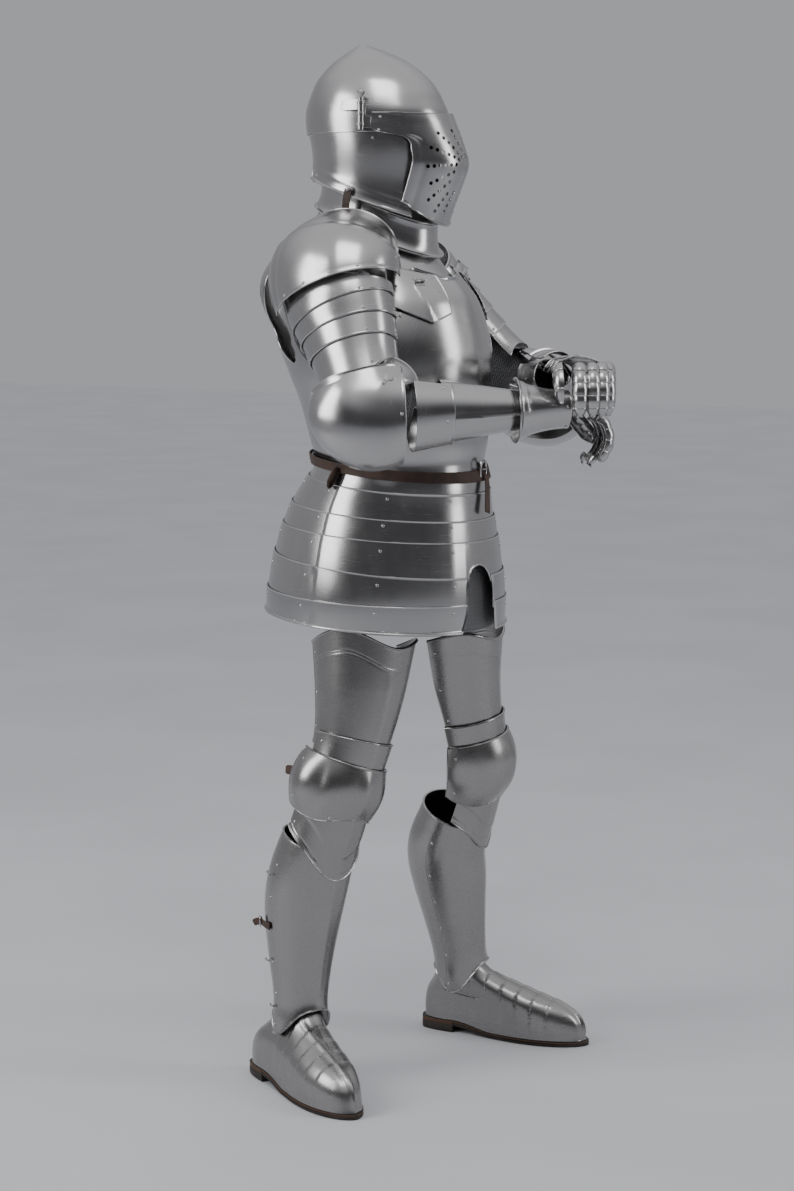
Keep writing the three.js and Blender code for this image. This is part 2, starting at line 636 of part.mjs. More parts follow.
function sabatonPlate(spec) {
  const { start, along, side } = footAxes(spec);
  const ankle = vec([...spec.path[1].slice(1), 0]);
  const on = (around, v) => {
    const u = (around + 1) % 1;
    const t = (u < 0.5 ? 2 * u : 2 - 2 * u) * (FOOT.length - 1);
    const i = Math.min(FOOT.length - 2, Math.floor(t));
    const [far, wide, angle] = FOOT[i].map((value, k) => lerp(value, FOOT[i + 1][k], t - i));
    const sign = u < 0.5 ? 1 : -1;
    const [reach, rise] = FOOT_RISE[Math.round(clamp01(v) * (FOOT_RISE.length - 1))];
    const base = start.clone().addScaledVector(along, far).addScaledVector(side, sign * wide);
    const deep = Math.cos(angle * RAD) * (angle < 90 ? ANKLE.front : ANKLE.back);
    const ring = ankle.clone().addScaledVector(along, deep)
      .addScaledVector(side, sign * ANKLE.side * Math.sin(angle * RAD));
    const at = base.lerp(ring, reach);
    at.z = lerp(soleTop(far) + 0.6, ANKLE.height, rise);
    return at;
  };
  // The wall runs inwards square to the skin, and level at the two open edges.
  const at = (u, v, lift) => {
    const spot = on(u, v);
    if (lift === 0) return spot;
    const round = on(u + 0.025, v).sub(on(u - 0.025, v));
    const climb = on(u, v + 0.2).sub(on(u, v - 0.2));
    const out = round.cross(climb).multiplyScalar(-spec.hand);
    if (v === 0 || v === 1) out.setZ(0);
    return spot.addScaledVector(out.normalize(), lift);
  };
  return plate(at, { cols: 20, rows: FOOT_RISE.length - 1, closed: true });
}

/** The sole: a tread with a stacked heel, a little wider than the sabaton above it. */
function solePlate(spec) {
  const { start, along, side } = footAxes(spec);
  const stations = [[-3, 14, 0], [9, 25, 0], [36, 34, 0], [71, 37, 0], [73, 37, HEEL_HEIGHT - 6],
    [115, 39, 6], [162, 45, 0], [210, 51, 0], [255, 50, 0], [296, 41, 0], [326, 25, 0], [341, 7, 0]];
  const rings = stations.map(([far, wide, low]) => [[1, 1], [-1, 1], [-1, 0], [1, 0]].map(([s, top]) => {
    const at = start.clone().addScaledVector(along, far).addScaledVector(side, s * wide);
    at.z = top ? soleTop(far) : low;
    return at.sub(vec(ORIGIN));
  }));
  const [first, last] = [rings[0], rings[rings.length - 1]];
  return bodyOf([...skinFaces(rings, true), ...flip(triangles(...first)), ...triangles(...last)]);
}

function buildFoot(side, spec) {
  add(`sabaton_${side}`, 'steel', sabatonPlate(spec));
  add(`sole_${side}`, 'sole', solePlate(spec));
}

buildCuirass();
buildGorget();
buildFauld();
buildHelmet();
for (const [side, spec] of Object.entries(ARMS)) buildArm(side, spec);
for (const [side, spec] of Object.entries(HANDS)) buildHand(side, spec);
for (const [side, spec] of Object.entries(LEGS)) {
  buildLeg(side, spec);
  buildFoot(side, spec);
}

export default suit;
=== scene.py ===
"""Suit of plate armour: the visible plates, mail, leathers and rivets over the packed solids.

Every plate is a thin patch of a hollow round form, worked out in millimetres above the floor with
the wearer facing -Y, and put into its mesh in metres in the frame of the packed part.
"""
import math

import bmesh
import bpy
import numpy as np
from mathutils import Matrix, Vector
from bpy.props import FloatProperty, FloatVectorProperty, PointerProperty
from bpy.types import Operator, Panel, PropertyGroup


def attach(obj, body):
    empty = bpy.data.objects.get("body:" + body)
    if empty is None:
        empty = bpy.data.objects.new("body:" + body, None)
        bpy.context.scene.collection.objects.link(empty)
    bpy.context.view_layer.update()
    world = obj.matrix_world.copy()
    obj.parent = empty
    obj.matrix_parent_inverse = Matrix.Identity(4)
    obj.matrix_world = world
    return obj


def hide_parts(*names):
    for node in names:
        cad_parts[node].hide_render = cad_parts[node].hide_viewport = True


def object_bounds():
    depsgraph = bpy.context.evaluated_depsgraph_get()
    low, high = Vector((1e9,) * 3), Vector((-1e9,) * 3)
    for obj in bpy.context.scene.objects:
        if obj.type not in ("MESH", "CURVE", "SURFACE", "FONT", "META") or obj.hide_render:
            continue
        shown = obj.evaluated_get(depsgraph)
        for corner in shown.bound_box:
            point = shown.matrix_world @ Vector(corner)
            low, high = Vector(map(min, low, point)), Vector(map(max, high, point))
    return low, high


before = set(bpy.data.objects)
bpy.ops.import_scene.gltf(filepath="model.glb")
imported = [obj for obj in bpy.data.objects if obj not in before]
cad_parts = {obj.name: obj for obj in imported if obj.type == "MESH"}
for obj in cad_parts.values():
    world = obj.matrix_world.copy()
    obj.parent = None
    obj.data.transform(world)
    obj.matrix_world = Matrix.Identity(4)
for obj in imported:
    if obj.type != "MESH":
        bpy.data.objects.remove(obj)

bl_info = {
    "name": "Plate armour suit",
    "version": (1, 0, 0),
    "blender": (4, 5, 0),
    "location": "3D View > Sidebar > Armour",
    "description": "Builds the plates, mail, leathers and fittings of a worn suit of armour",
    "category": "Object",
}

CAD_BOX = [list(map(float, corner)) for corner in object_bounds()]
ORIGIN = np.array([0.0, 40.0, 1460.0])
WALL, MAIL_WALL, BELT_WALL = 1.5, 2.2, 2.6
PITCH = 3.6
SMOOTH_ANGLE, PIERCED_ANGLE = math.radians(38), math.radians(35)
HARNESS = "harness"
SIDES = ("right", "left")


# ---------------------------------------------------------------- tables and forms

def curve(rows):
    """Smooth curve through rows [s, values...].

    Each span is a cubic whose end slopes are those of the chord between the neighbouring rows;
    beyond the last rows it runs on straight.
    """
    rows = np.asarray(rows, float)
    s, y = rows[:, 0], rows[:, 1:]
    last = len(s) - 1
    before = np.maximum(np.arange(last + 1) - 1, 0)
    after = np.minimum(np.arange(last + 1) + 1, last)
    slope = (y[after] - y[before]) / (s[after] - s[before])[:, None]

    def at(x):
        x = np.asarray(x, float)
        i = np.clip(np.searchsorted(s, x) - 1, 0, last - 1)
        span = (s[i + 1] - s[i])[..., None]
        t = (x - s[i])[..., None] / span
        m0, m1 = slope[i] * span, slope[i + 1] * span
        inside = (y[i] + (y[i + 1] - y[i]) * t * t * (3 - 2 * t)
                  + m0 * t * (1 - t) ** 2 - m1 * t * t * (1 - t))
        return np.where(t < 0, y[i] + m0 * t, np.where(t > 1, y[i + 1] + m1 * (t - 1), inside))
    return at


def by_angle(rows):
    """Smooth table by angle from the front, the same on both sides and level at front and back."""
    rows = np.asarray(rows, float)
    low, high = rows[0, 0], rows[-1, 0]
    mirror = rows[rows[:, 0] > 0][::-1] * [-1, 1]
    beyond = rows[rows[:, 0] < 180][::-1] * [-1, 1] + [360, 0] if high > 179 else rows[:0]
    table = curve(np.vstack([mirror, rows, beyond]))

    def at(phi):
        x = np.abs((np.asarray(phi, float) + 540) % 360 - 180)
        return table(np.clip(x, low, high))[..., 0]
    return at


def tilted(mean, drop):
    """Edge height that runs lower at the front by drop and higher at the back."""
    return lambda phi: mean - drop * np.cos(np.radians(phi))


def unit(a):
    """Vectors scaled to length one."""
    return a / np.maximum(np.linalg.norm(a, axis=-1, keepdims=True), 1e-12)


def step_up(x, width=1.0):
    """Smooth rise from 0 to 1 over the given width about x = 0."""
    t = np.clip(x / width + 0.5, 0, 1)
    return t * t * (3 - 2 * t)


def bump(x, width):
    """Bell curve of height 1 about x = 0."""
    return np.exp(-(x / width) ** 2)


class Form:
    """A hollow round form along a path.

    path rows are [s, x, y, z] and size rows [s, side, front, back].  A point at (s, phi) is the
    path's point plus front or back times cos(phi) forwards plus side times sin(phi) outwards;
    phi is 0 at the front and 90 degrees at the outer side.
    """

    def __init__(self, path, size, front, hand, tilt=None, level=False):
        self.centre = curve(path)
        self.girth = curve(size)
        self.front = unit(np.asarray(front, float))
        self.hand, self.tilt, self.level = hand, tilt, level

    def axes(self, s):
        """Directions along the path, to the front and to the outer side."""
        if self.level:
            along = np.zeros(s.shape + (3,))
            along[..., 2] = 1
        else:
            along = unit(self.centre(s + 0.5) - self.centre(s - 0.5))
        fore = unit(self.front - along * (along @ self.front)[..., None])
        return along, fore, np.cross(along, fore) * self.hand

    def skin(self, s, phi):
        """The point of the form's surface at (s, phi)."""
        along, fore, side = self.axes(s)
        wide, ahead, behind = np.moveaxis(self.girth(s), -1, 0)
        c, n = np.cos(np.radians(phi)), np.sin(np.radians(phi))
        at = self.centre(s) + fore * (c * np.where(c > 0, ahead, behind))[..., None]
        at = at + side * (n * wide)[..., None]
        return at if self.tilt is None else at - along * (self.tilt(s)[..., 0] * c)[..., None]

    def place(self, s, phi, lift):
        """The point at (s, phi), moved outwards by lift along the surface's normal."""
        s, phi, lift = np.broadcast_arrays(np.asarray(s, float), phi, lift)
        at = self.skin(s, phi)
        out = unit(np.cross(self.skin(s, phi + 1) - self.skin(s, phi - 1),
                            self.skin(s + 1, phi) - self.skin(s - 1, phi)))
        inward = np.sum(out * (at - self.centre(s)), axis=-1) < 0
        out = np.where(inward[..., None], -out, out)
        return at + out * lift[..., None]

    def point(self, s, phi, lift):
        """A single point of place."""
        return self.place([float(s)], [float(phi)], lift)[0]


# ---------------------------------------------------------------- meshes

def show(name, mesh, material, body=HARNESS, slot="steel", nodes=()):
    """Puts a mesh in the scene: its body, its slot and the CAD nodes that it replaces."""
    mesh.shade_smooth()
    mesh.set_sharp_from_angle(angle=SMOOTH_ANGLE)
    mesh.materials.clear()
    mesh.materials.append(material)
    piece = bpy.data.objects.new(name, mesh)
    bpy.context.scene.collection.objects.link(piece)
    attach(piece, body)
    if nodes:
        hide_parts(*nodes)
    return piece


def save_mesh(name, verts, quads, material, uv=None, rim=None, **owner):
    """A piece from points in millimetres and four-cornered faces, turned to face outwards.

    The signed volume, the sum of each face's corner . (edge x edge), says which way it faces.
    """
    verts = (np.asarray(verts, float) - ORIGIN) / 1000
    quads = np.asarray(quads)
    a, b, c, d = (verts[quads[:, k]] for k in range(4))
    middle = verts.mean(axis=0)
    volume = np.sum((a - middle) * (np.cross(b - middle, c - middle)
                                    + np.cross(c - middle, d - middle)))
    if volume < 0:
        quads = quads[:, ::-1]
        uv = None if uv is None else uv[:, ::-1]
    mesh = bpy.data.meshes.new(name)
    mesh.from_pydata(verts.tolist(), [], quads.tolist())
    if uv is not None:
        layer = mesh.uv_layers.new(name="surface")
        layer.data.foreach_set("uv", np.ascontiguousarray(uv, dtype=np.float32).ravel())
    edge = mesh.attributes.new("rim", "FLOAT", "POINT")
    rim = np.zeros(len(verts)) if rim is None else np.asarray(rim, float).ravel()
    edge.data.foreach_set("value", rim)
    work = bmesh.new()
    work.from_mesh(mesh)
    bmesh.ops.remove_doubles(work, verts=work.verts, dist=2e-6)
    bmesh.ops.dissolve_degenerate(work, edges=work.edges, dist=1e-6)
    work.to_mesh(mesh)
    work.free()
    return show(name, mesh, material, **owner)


def grid_quads(rows, cols, start=0):
    """Corner numbers of the faces of a grid of rows x cols points."""
    j, i = np.meshgrid(np.arange(rows - 1), np.arange(cols - 1), indexing="ij")
    a = start + (j * cols + i).ravel()
    return np.stack([a, a + 1, a + cols + 1, a + cols], axis=1)


def grid_uv(u, v):
    """Corner coordinates, in metres along the surface, for grid_quads."""
    uv = np.stack(np.broadcast_arrays(u, v), axis=-1) / 1000
    return np.stack([uv[:-1, :-1], uv[:-1, 1:], uv[1:, 1:], uv[1:, :-1]], axis=2).reshape(-1, 4, 2)


# Distances of the lines across a rounded edge, as shares of its radius.
EDGE_LINES = np.array([0, 0.1, 0.45, 1, 1.75, 2.2])


def spaced(count, length, start, end, marks=()):
    """Lines across 0..1: evenly spaced, closer at both rounded edges and at each mark."""
    parts = [np.linspace(0, 1, count + 1), np.asarray(marks, float),
             EDGE_LINES * max(start, WALL / 2) / length,
             1 - EDGE_LINES * max(end, WALL / 2) / length]
    return np.unique(np.clip(np.concatenate(parts), 0, 1).round(6))


class Plate:
    """A sheet of even thickness: at(u, v, lift) gives its points, u round it and v down it."""

    def __init__(self, at, lift=0.0, relief=None, wall=WALL, closed=False):
        self.at, self.wall, self.closed = at, wall, closed
        self.lift = lift if callable(lift) else (lambda u, v: lift + 0 * v)
        self.relief = relief or (lambda u, v: 0 * v)

    def point(self, u, v, off=0.0):
        """Points of the outer face, moved outwards by off."""
        u, v = np.broadcast_arrays(np.asarray(u, float), np.asarray(v, float))
        return self.at(u, v, self.lift(u, v) + self.relief(u, v) + off)

    def outward(self, u, v):
        """Directions straight out of the outer face."""
        return unit(self.point(u, v, 1.0) - self.point(u, v, 0.0))


def build(name, plate, cols, rows, material, roll=(0, 0, 0, 0), u_marks=(), v_marks=(), **save):
    """A plate as a closed shell whose edges are rounded, or rolled to the given radii.

    roll is (top, bottom, first side, last side).  At a distance d from an edge of radius r the
    half thickness is sqrt(r^2 - (d - r)^2), and never less than half the wall once past the bead.
    """
    def run(points, axis):
        return np.linalg.norm(np.diff(points, axis=axis), axis=-1).sum(axis=axis).mean()

    rough = plate.point(np.linspace(0, 1, 25)[None, :], np.linspace(0, 1, 25)[:, None])
    wide, deep = run(rough, 1), run(rough, 0)
    sides = (0, 0) if plate.closed else roll[2:]
    u = np.linspace(0, 1, cols + 1) if plate.closed else spaced(cols, wide, *sides, u_marks)
    if plate.closed and len(u_marks):
        u = np.unique(np.concatenate([u, np.asarray(u_marks, float)]).round(6))
    v = spaced(rows, deep, *roll[:2], v_marks)
    U, V = np.meshgrid(u, v)
    flat = plate.point(U, V)
    across = np.zeros(U.shape)
    down = np.zeros(U.shape)
    across[:, 1:] = np.cumsum(np.linalg.norm(np.diff(flat, axis=1), axis=-1), axis=1)
    down[1:] = np.cumsum(np.linalg.norm(np.diff(flat, axis=0), axis=-1), axis=0)
    gaps = [(down, roll[0]), (down[-1:] - down, roll[1])]
    if not plate.closed:
        gaps += [(across, roll[2]), (across[:, -1:] - across, roll[3])]
    half = np.full(U.shape, plate.wall / 2)
    limit = np.full(U.shape, np.inf)
    nearest = np.full(U.shape, np.inf)
    for gap, radius in gaps:
        r = max(radius, plate.wall / 2)
        round_ = np.sqrt(np.maximum(r * r - (gap - r) ** 2, 0))
        half = np.maximum(half, np.where(gap >= r, round_, np.minimum(round_, r)))
        limit = np.minimum(limit, np.where(gap < r, round_, np.inf))
        nearest = np.minimum(nearest, gap)
    half = np.minimum(half, limit)
    proud = np.maximum(half - plate.wall / 2, 0) * 0.7
    outer = plate.point(U, V, -plate.wall / 2 + half + proud)
    inner = plate.point(U, V, -plate.wall / 2 - half + proud)
    R, C = U.shape
    quads = [grid_quads(R, C), grid_quads(R, C, R * C)[:, ::-1]]
    ua, va = across.mean(axis=0)[None, :], down.mean(axis=1)[:, None]
    uv = grid_uv(ua + 0 * va, va + 0 * ua)
    uvs = [uv, uv[:, ::-1]]
    verts = np.concatenate([outer.reshape(-1, 3), inner.reshape(-1, 3)])
    index = np.arange(R * C).reshape(R, C)
    borders = [index[0][::-1], index[-1]]
    if not plate.closed:
        borders += [index[:, 0], index[:, -1][::-1]]
    for line in borders:
        a, b = line[:-1], line[1:]
        quads.append(np.stack([a, b, b + R * C, a + R * C], axis=1)[:, ::-1])
        uvs.append(np.zeros((len(a), 4, 2)))
    rim = np.tile(np.exp(-nearest / 3.0).ravel(), 2)
    return save_mesh(name, verts, np.concatenate(quads), material, uv=np.concatenate(uvs), rim=rim,
                     **save)


def form_plate(shape, lo, hi, top, bottom, lift=0.0, relief=None, wall=WALL):
    """A plate on a form between two angles and two edges that may vary with the angle.

    relief(s, phi, u, v) is how far its surface stands above the form's.
    """
    edge = lambda value, phi: value(phi) if callable(value) else value + 0 * phi

    def where(u, v):
        phi = lo + (hi - lo) * u
        a, b = edge(top, phi), edge(bottom, phi)
        return a + (b - a) * v, phi

    def at(u, v, height):
        s, phi = where(u, v)
        return shape.place(s, phi, height)

    rise = None if relief is None else (lambda u, v: relief(*where(u, v), u, v))
    return Plate(at, lift, rise, wall, closed=hi - lo >= 360)


def sweep(name, path, outward, outline, material, scale=None, loop=False, **save):
    """A profile carried along a path.

    Each station is the path's point plus the outline's first number across it and its second
    number outwards, both times the scale there; open ends are closed on their middle points.
    """
    path = np.asarray(path, float)
    outward = np.broadcast_to(np.asarray(outward, float), path.shape)
    if loop:
        ahead = np.roll(path, -1, axis=0) - np.roll(path, 1, axis=0)
    else:
        ahead = np.gradient(path, axis=0)
    ahead = unit(ahead)
    up = unit(outward - ahead * np.sum(outward * ahead, axis=1, keepdims=True))
    side = np.cross(ahead, up)
    outline = np.asarray(outline, float)
    outline = np.vstack([outline, outline[:1]])
    size = np.ones(len(path)) if scale is None else np.asarray(scale, float)
    rings = (path[:, None] + side[:, None] * outline[None, :, :1] * size[:, None, None]
             + up[:, None] * outline[None, :, 1:] * size[:, None, None])
    if loop:
        rings = np.concatenate([rings, rings[:1]])
    else:
        caps = [np.broadcast_to(path[k], rings[0].shape)[None] for k in (0, -1)]
        rings = np.concatenate([caps[0], rings, caps[1]])
    R, C = rings.shape[:2]
    length = np.zeros(R)
    length[1:] = np.cumsum(np.linalg.norm(np.diff(rings[:, 0], axis=0), axis=1))
    uv = grid_uv(np.linspace(0, 12, C)[None, :], length[:, None])
    return save_mesh(name, rings.reshape(-1, 3), grid_quads(R, C), material, uv=uv, **save)


def disc_outline(radius, sides):
    """Round section of a sweep."""
    t = np.linspace(0, 2 * np.pi, sides, endpoint=False)
    return np.stack([radius * np.cos(t), radius * np.sin(t)], axis=1)


def strap_outline(width, thick):
    """Section of a strap: a rectangle with rounded corners."""
    w, h = width / 2, thick / 2
    c = h * 0.6
    return np.array([[-w, -h + c], [-w + c, -h], [w - c, -h], [w, -h + c],
                     [w, h - c], [w - c, h], [-w + c, h], [-w, h - c]])


def buckle_ring(here, side, up, wide, high, power, count):
    """Points round a buckle: the cosine and sine of a turn, each raised to a power.

    A power below 1 squares the ring's corners.
    """
    t = np.linspace(0, 2 * np.pi, count, endpoint=False)
    c, n = np.cos(t)[:, None], np.sin(t)[:, None]
    return (here + wide * (np.sign(c) * np.abs(c) ** power) * side
            + high * (np.sign(n) * np.abs(n) ** power) * up)


def join(name, parts, material, **owner):
    """One piece from the meshes of several, which are removed."""
    work = bmesh.new()
    for part in parts:
        work.from_mesh(part.data)
    mesh = bpy.data.meshes.new(name)
    work.to_mesh(mesh)
    work.free()
    for part in parts:
        old = part.data
        bpy.data.objects.remove(part)
        bpy.data.meshes.remove(old)
    return show(name, mesh, material, **owner)


def domes(name, points, outward, radius, height, material, sides=10, **save):
    """Rivet heads: one low dome on each point, standing outwards."""
    points, outward = np.atleast_2d(points), unit(np.atleast_2d(outward))
    ref = np.where(np.abs(outward[:, 2:]) < 0.9, [[0.0, 0.0, 1.0]], [[1.0, 0.0, 0.0]])
    a = unit(np.cross(outward, ref))
    b = np.cross(outward, a)
    profile = np.array([[0, -0.6], [0.95, -0.6], [1.0, 0.05], [0.86, 0.5], [0.55, 0.85], [0, 1.0]])
    t = np.linspace(0, 2 * np.pi, sides + 1)
    ring = profile[:, 0][:, None] * radius
    local = (a[:, None, None] * (ring * np.cos(t))[None, ..., None]
             + b[:, None, None] * (ring * np.sin(t))[None, ..., None]
             + outward[:, None, None] * (profile[:, 1] * height)[None, :, None, None])
    verts = (points[:, None, None] + local).reshape(-1, 3)
    per = len(profile) * (sides + 1)
    one = grid_quads(len(profile), sides + 1)[:, ::-1]
    quads = np.concatenate([one + k * per for k in range(len(points))])
    return save_mesh(name, verts, quads, material, **save)


def rivets_on(plates):
    """Points and outward directions of rivets given as (plate, [(u, v), ...]) pairs."""
    points, outward = [], []
    for plate, spots in plates:
        u, v = np.array(spots, float).T
        points.append(plate.point(u, v))
        outward.append(plate.outward(u, v))
    return np.concatenate(points), np.concatenate(outward)


# Radius and height of the heads on each group of plates.
RIVET_HEADS = {
    "cuirass_rivets": (3.2, 1.6), "fauld_rivets": (3.1, 1.5), "helmet_rivets": (2.4, 1.2),
    "visor_rivets": (2.6, 1.3), "shoulder_rivets": (3.0, 1.5), "arm_rivets": (3.0, 1.5),
    "gauntlet_rivets": (2.4, 1.2), "leg_rivets": (3.1, 1.6),
}


def rivet_heads(name, plates, **save):
    """The rivets of a group of plates, as one piece."""
    domes(name, *rivets_on(plates), *RIVET_HEADS[name], finish_of("rivet_steel"), **save)


def plate_of(node, plate, cols, rows, steel, **more):
    """A steel plate that is named after the CAD node it replaces."""
    return build(f"{node}_steel", plate, cols, rows, steel, nodes=[node], **more)


def row_of(count, lo, hi, v):
    """Evenly spaced rivets along a line of constant v."""
    return [(u, v) for u in np.linspace(lo, hi, count)]


def column_of(count, u, lo, hi):
    """Evenly spaced rivets along a line of constant u."""
    return [(u, v) for v in np.linspace(lo, hi, count)]


# ---------------------------------------------------------------- shader maths

# Numbers of the colour sockets of a Mix node.
MIX_FACTOR, MIX_LOW, MIX_HIGH, MIX_COLOUR = 0, 6, 7, 2


class Sock:
    """One shader value: arithmetic on it adds the Math nodes that work it out."""

    def __init__(self, paint, out):
        self.paint, self.out = paint, out

    def _do(self, operation, *values):
        return self.paint.node("ShaderNodeMath", {"operation": operation}, values)

    def __add__(self, other): return self._do("ADD", self, other)
    def __radd__(self, other): return self._do("ADD", other, self)
    def __sub__(self, other): return self._do("SUBTRACT", self, other)
    def __rsub__(self, other): return self._do("SUBTRACT", other, self)
    def __mul__(self, other): return self._do("MULTIPLY", self, other)
    def __rmul__(self, other): return self._do("MULTIPLY", other, self)
    def __pow__(self, other): return self._do("POWER", self, other)
    def floor(self): return self._do("FLOOR", self)
    def fract(self): return self._do("FRACT", self)
    def root(self): return self._do("SQRT", self)

    def ramp(self, low, high):
        """0 below low, 1 above high, smooth between."""
        return self.paint.node("ShaderNodeMapRange", {"interpolation_type": "SMOOTHSTEP"},
                               {"Value": self, "From Min": low, "From Max": high})


class Paint:
    """A material or a world under construction, with its node tree and its shader."""

    def __init__(self, owner, shader="Principled BSDF"):
        self.owner = owner
        owner.use_nodes = True
        self.tree = owner.node_tree
        self.shader = self.tree.nodes[shader]

    def node(self, kind, settings, inputs=(), output=0):
        """Adds a node: its settings first, then its inputs by order or by name."""
        made = self.tree.nodes.new(kind)
        for key, value in settings.items():
            setattr(made, key, value)
        pairs = inputs.items() if isinstance(inputs, dict) else enumerate(inputs)
        for key, value in pairs:
            if isinstance(value, Sock):
                self.tree.links.new(value.out, made.inputs[key])
            else:
                made.inputs[key].default_value = value
        return Sock(self, made.outputs[output])

    def place(self, scale=(1, 1, 1)):
        """Object coordinates in metres, stretched by scale."""
        at = self.node("ShaderNodeTexCoord", {}, output="Object")
        return self.node("ShaderNodeMapping", {}, {"Vector": at, "Scale": scale})

    def surface(self):
        """The surface's own two coordinates, in metres round it and down it."""
        uv = self.node("ShaderNodeUVMap", {"uv_map": "surface"})
        split = self.node("ShaderNodeSeparateXYZ", {}, [uv])
        return split, Sock(self, split.out.node.outputs[1]), uv

    def rim(self):
        """1 on a plate's edges, falling off over a few millimetres."""
        return self.node("ShaderNodeAttribute", {"attribute_name": "rim"}, output="Fac")

    def noise(self, vector, scale, detail=2.0, rough=0.5):
        """Soft clouds between 0 and 1."""
        return self.node("ShaderNodeTexNoise", {}, {
            "Vector": vector, "Scale": scale, "Detail": detail, "Roughness": rough})

    def blend(self, factor, low, high):
        """A colour between low and high."""
        made = self.tree.nodes.new("ShaderNodeMix")
        made.data_type = "RGBA"
        for key, value in ((MIX_FACTOR, factor), (MIX_LOW, low), (MIX_HIGH, high)):
            if isinstance(value, Sock):
                self.tree.links.new(value.out, made.inputs[key])
            else:
                made.inputs[key].default_value = (*value, 1)
        return Sock(self, made.outputs[MIX_COLOUR])

    def raised(self, height, distance, strength):
        """The surface's normal, tilted as if it stood up by height times distance."""
        return self.node("ShaderNodeBump", {}, {
            "Height": height, "Distance": distance, "Strength": strength})

    def feed(self, **sockets):
        """Sets or links sockets of the shader, named with _ for spaces."""
        for key, value in sockets.items():
            target = self.shader.inputs[key.replace("_", " ")]
            if isinstance(value, Sock):
                self.tree.links.new(value.out, target)
            else:
                target.default_value = value
        return self.owner


def shaded(colour, by):
    """A colour times a number, no brighter than white."""
    return tuple(min(1.0, c * by) for c in colour)


def steel_paint(name, colour, rough, grain=1.0, clouds=0.06):
    """Bare polished steel: fine marks round each plate, soft clouds, brighter edges."""
    p = Paint(bpy.data.materials.new(name))
    _, _, uv = p.surface()
    rim = p.rim()
    marks = p.node("ShaderNodeMapping", {}, {"Vector": uv, "Scale": (7.0, 900.0, 1.0)})
    fine = p.noise(marks, 1.0, 3.0, 0.65)
    cloud = p.noise(p.place(), 9.0, 3.0, 0.55)
    patch = p.noise(p.place((1, 1, 0.6)), 34.0, 4.0, 0.6)
    scratches = p.noise(p.node("ShaderNodeMapping", {}, {
        "Vector": uv, "Rotation": (0, 0, 1.1), "Scale": (24.0, 1500.0, 1.0)}), 1.0, 1.0, 0.5)
    tone = (cloud - 0.5) * clouds * 2 + (fine - 0.5) * 0.05
    shade = (tone + 0.5).ramp(0.3, 0.7)
    skin = p.blend(shade, shaded(colour, 1 - 1.6 * clouds), shaded(colour, 1 + 1.2 * clouds))
    worn = p.blend(rim.ramp(0.35, 0.95) * 0.6, skin, shaded(colour, 1.18))
    gloss = (rough + (fine - 0.5) * 0.10 * grain + (patch - 0.5) * 0.12
             + scratches.ramp(0.62, 0.8) * 0.05 - rim.ramp(0.4, 1.0) * 0.05)
    height = (fine - 0.5) * 0.25 * grain + (patch - 0.5) * 0.6
    return p.feed(Base_Color=worn, Metallic=1.0, Roughness=gloss,
                  Normal=p.raised(height, 0.0001, 0.06))


def mail_paint(name, colour, ring):
    """Mail: rows of linked rings, each a raised torus, dark between them.

    Alternate rows are shifted by half a ring; a ring's height is 1 - ((r - r0) / t)^2 about its
    wire, where r is the distance from the ring's middle.
    """
    p = Paint(bpy.data.materials.new(name))
    u, v, uv = p.surface()

    def layer(shift_u, shift_v):
        """Height of one set of rings: r0 is 0.36 and t is 0.13 of a ring's width."""
        row = v * (1 / (ring * 0.86)) + shift_v
        odd = (row.floor() * 0.5).fract()
        x = (u * (1 / ring) + odd + shift_u).fract() - 0.5
        y = row.fract() - 0.5
        r = (x * x + y * y * 0.9).root()
        wire = (1 - ((r - 0.36) * (1 / 0.13)) ** 2.0)
        lean = 0.75 + x * 0.5
        return p.node("ShaderNodeMath", {"operation": "MAXIMUM"}, [wire * lean, 0.0])

    first, second = layer(0.0, 0.0), layer(0.5, 0.5)
    height = p.node("ShaderNodeMath", {"operation": "MAXIMUM"}, [first, second])
    worn = p.noise(p.place(), 60.0, 2.0)
    mask = height.ramp(0.05, 0.6)
    # Painted shade: the gaps between the rings get the mail's colour at a twentieth of its
    # brightness.
    body = p.blend(mask, shaded(colour, 0.05), colour)
    return p.feed(Base_Color=body, Metallic=0.92, Roughness=0.34 + worn * 0.22,
                  Normal=p.raised(height, 0.0022, 0.9))


def leather_paint(name, colour, rough=0.55, edge=None):
    """Oiled leather: pebbled grain, creases and rubbed edges."""
    p = Paint(bpy.data.materials.new(name))
    cells = p.node("ShaderNodeTexVoronoi", {"feature": "DISTANCE_TO_EDGE"},
                   {"Vector": p.place(), "Scale": 900.0})
    pores = cells.ramp(0.0, 0.25)
    stain = p.noise(p.place(), 38.0, 4.0, 0.6)
    deep = p.blend(stain.ramp(0.3, 0.7), shaded(colour, 0.6), shaded(colour, 1.45))
    skin = p.blend((1 - pores) * 0.35, deep, shaded(colour, 0.35))
    if edge is not None:
        rim = p.rim()
        skin = p.blend(rim.ramp(0.3, 0.9) * 0.7, skin, edge)
    return p.feed(Base_Color=skin, Metallic=0.0, Roughness=rough + (stain - 0.5) * 0.25,
                  Normal=p.raised(pores + stain * 0.8, 0.0003, 0.5))


# ---------------------------------------------------------------- the suit's forms

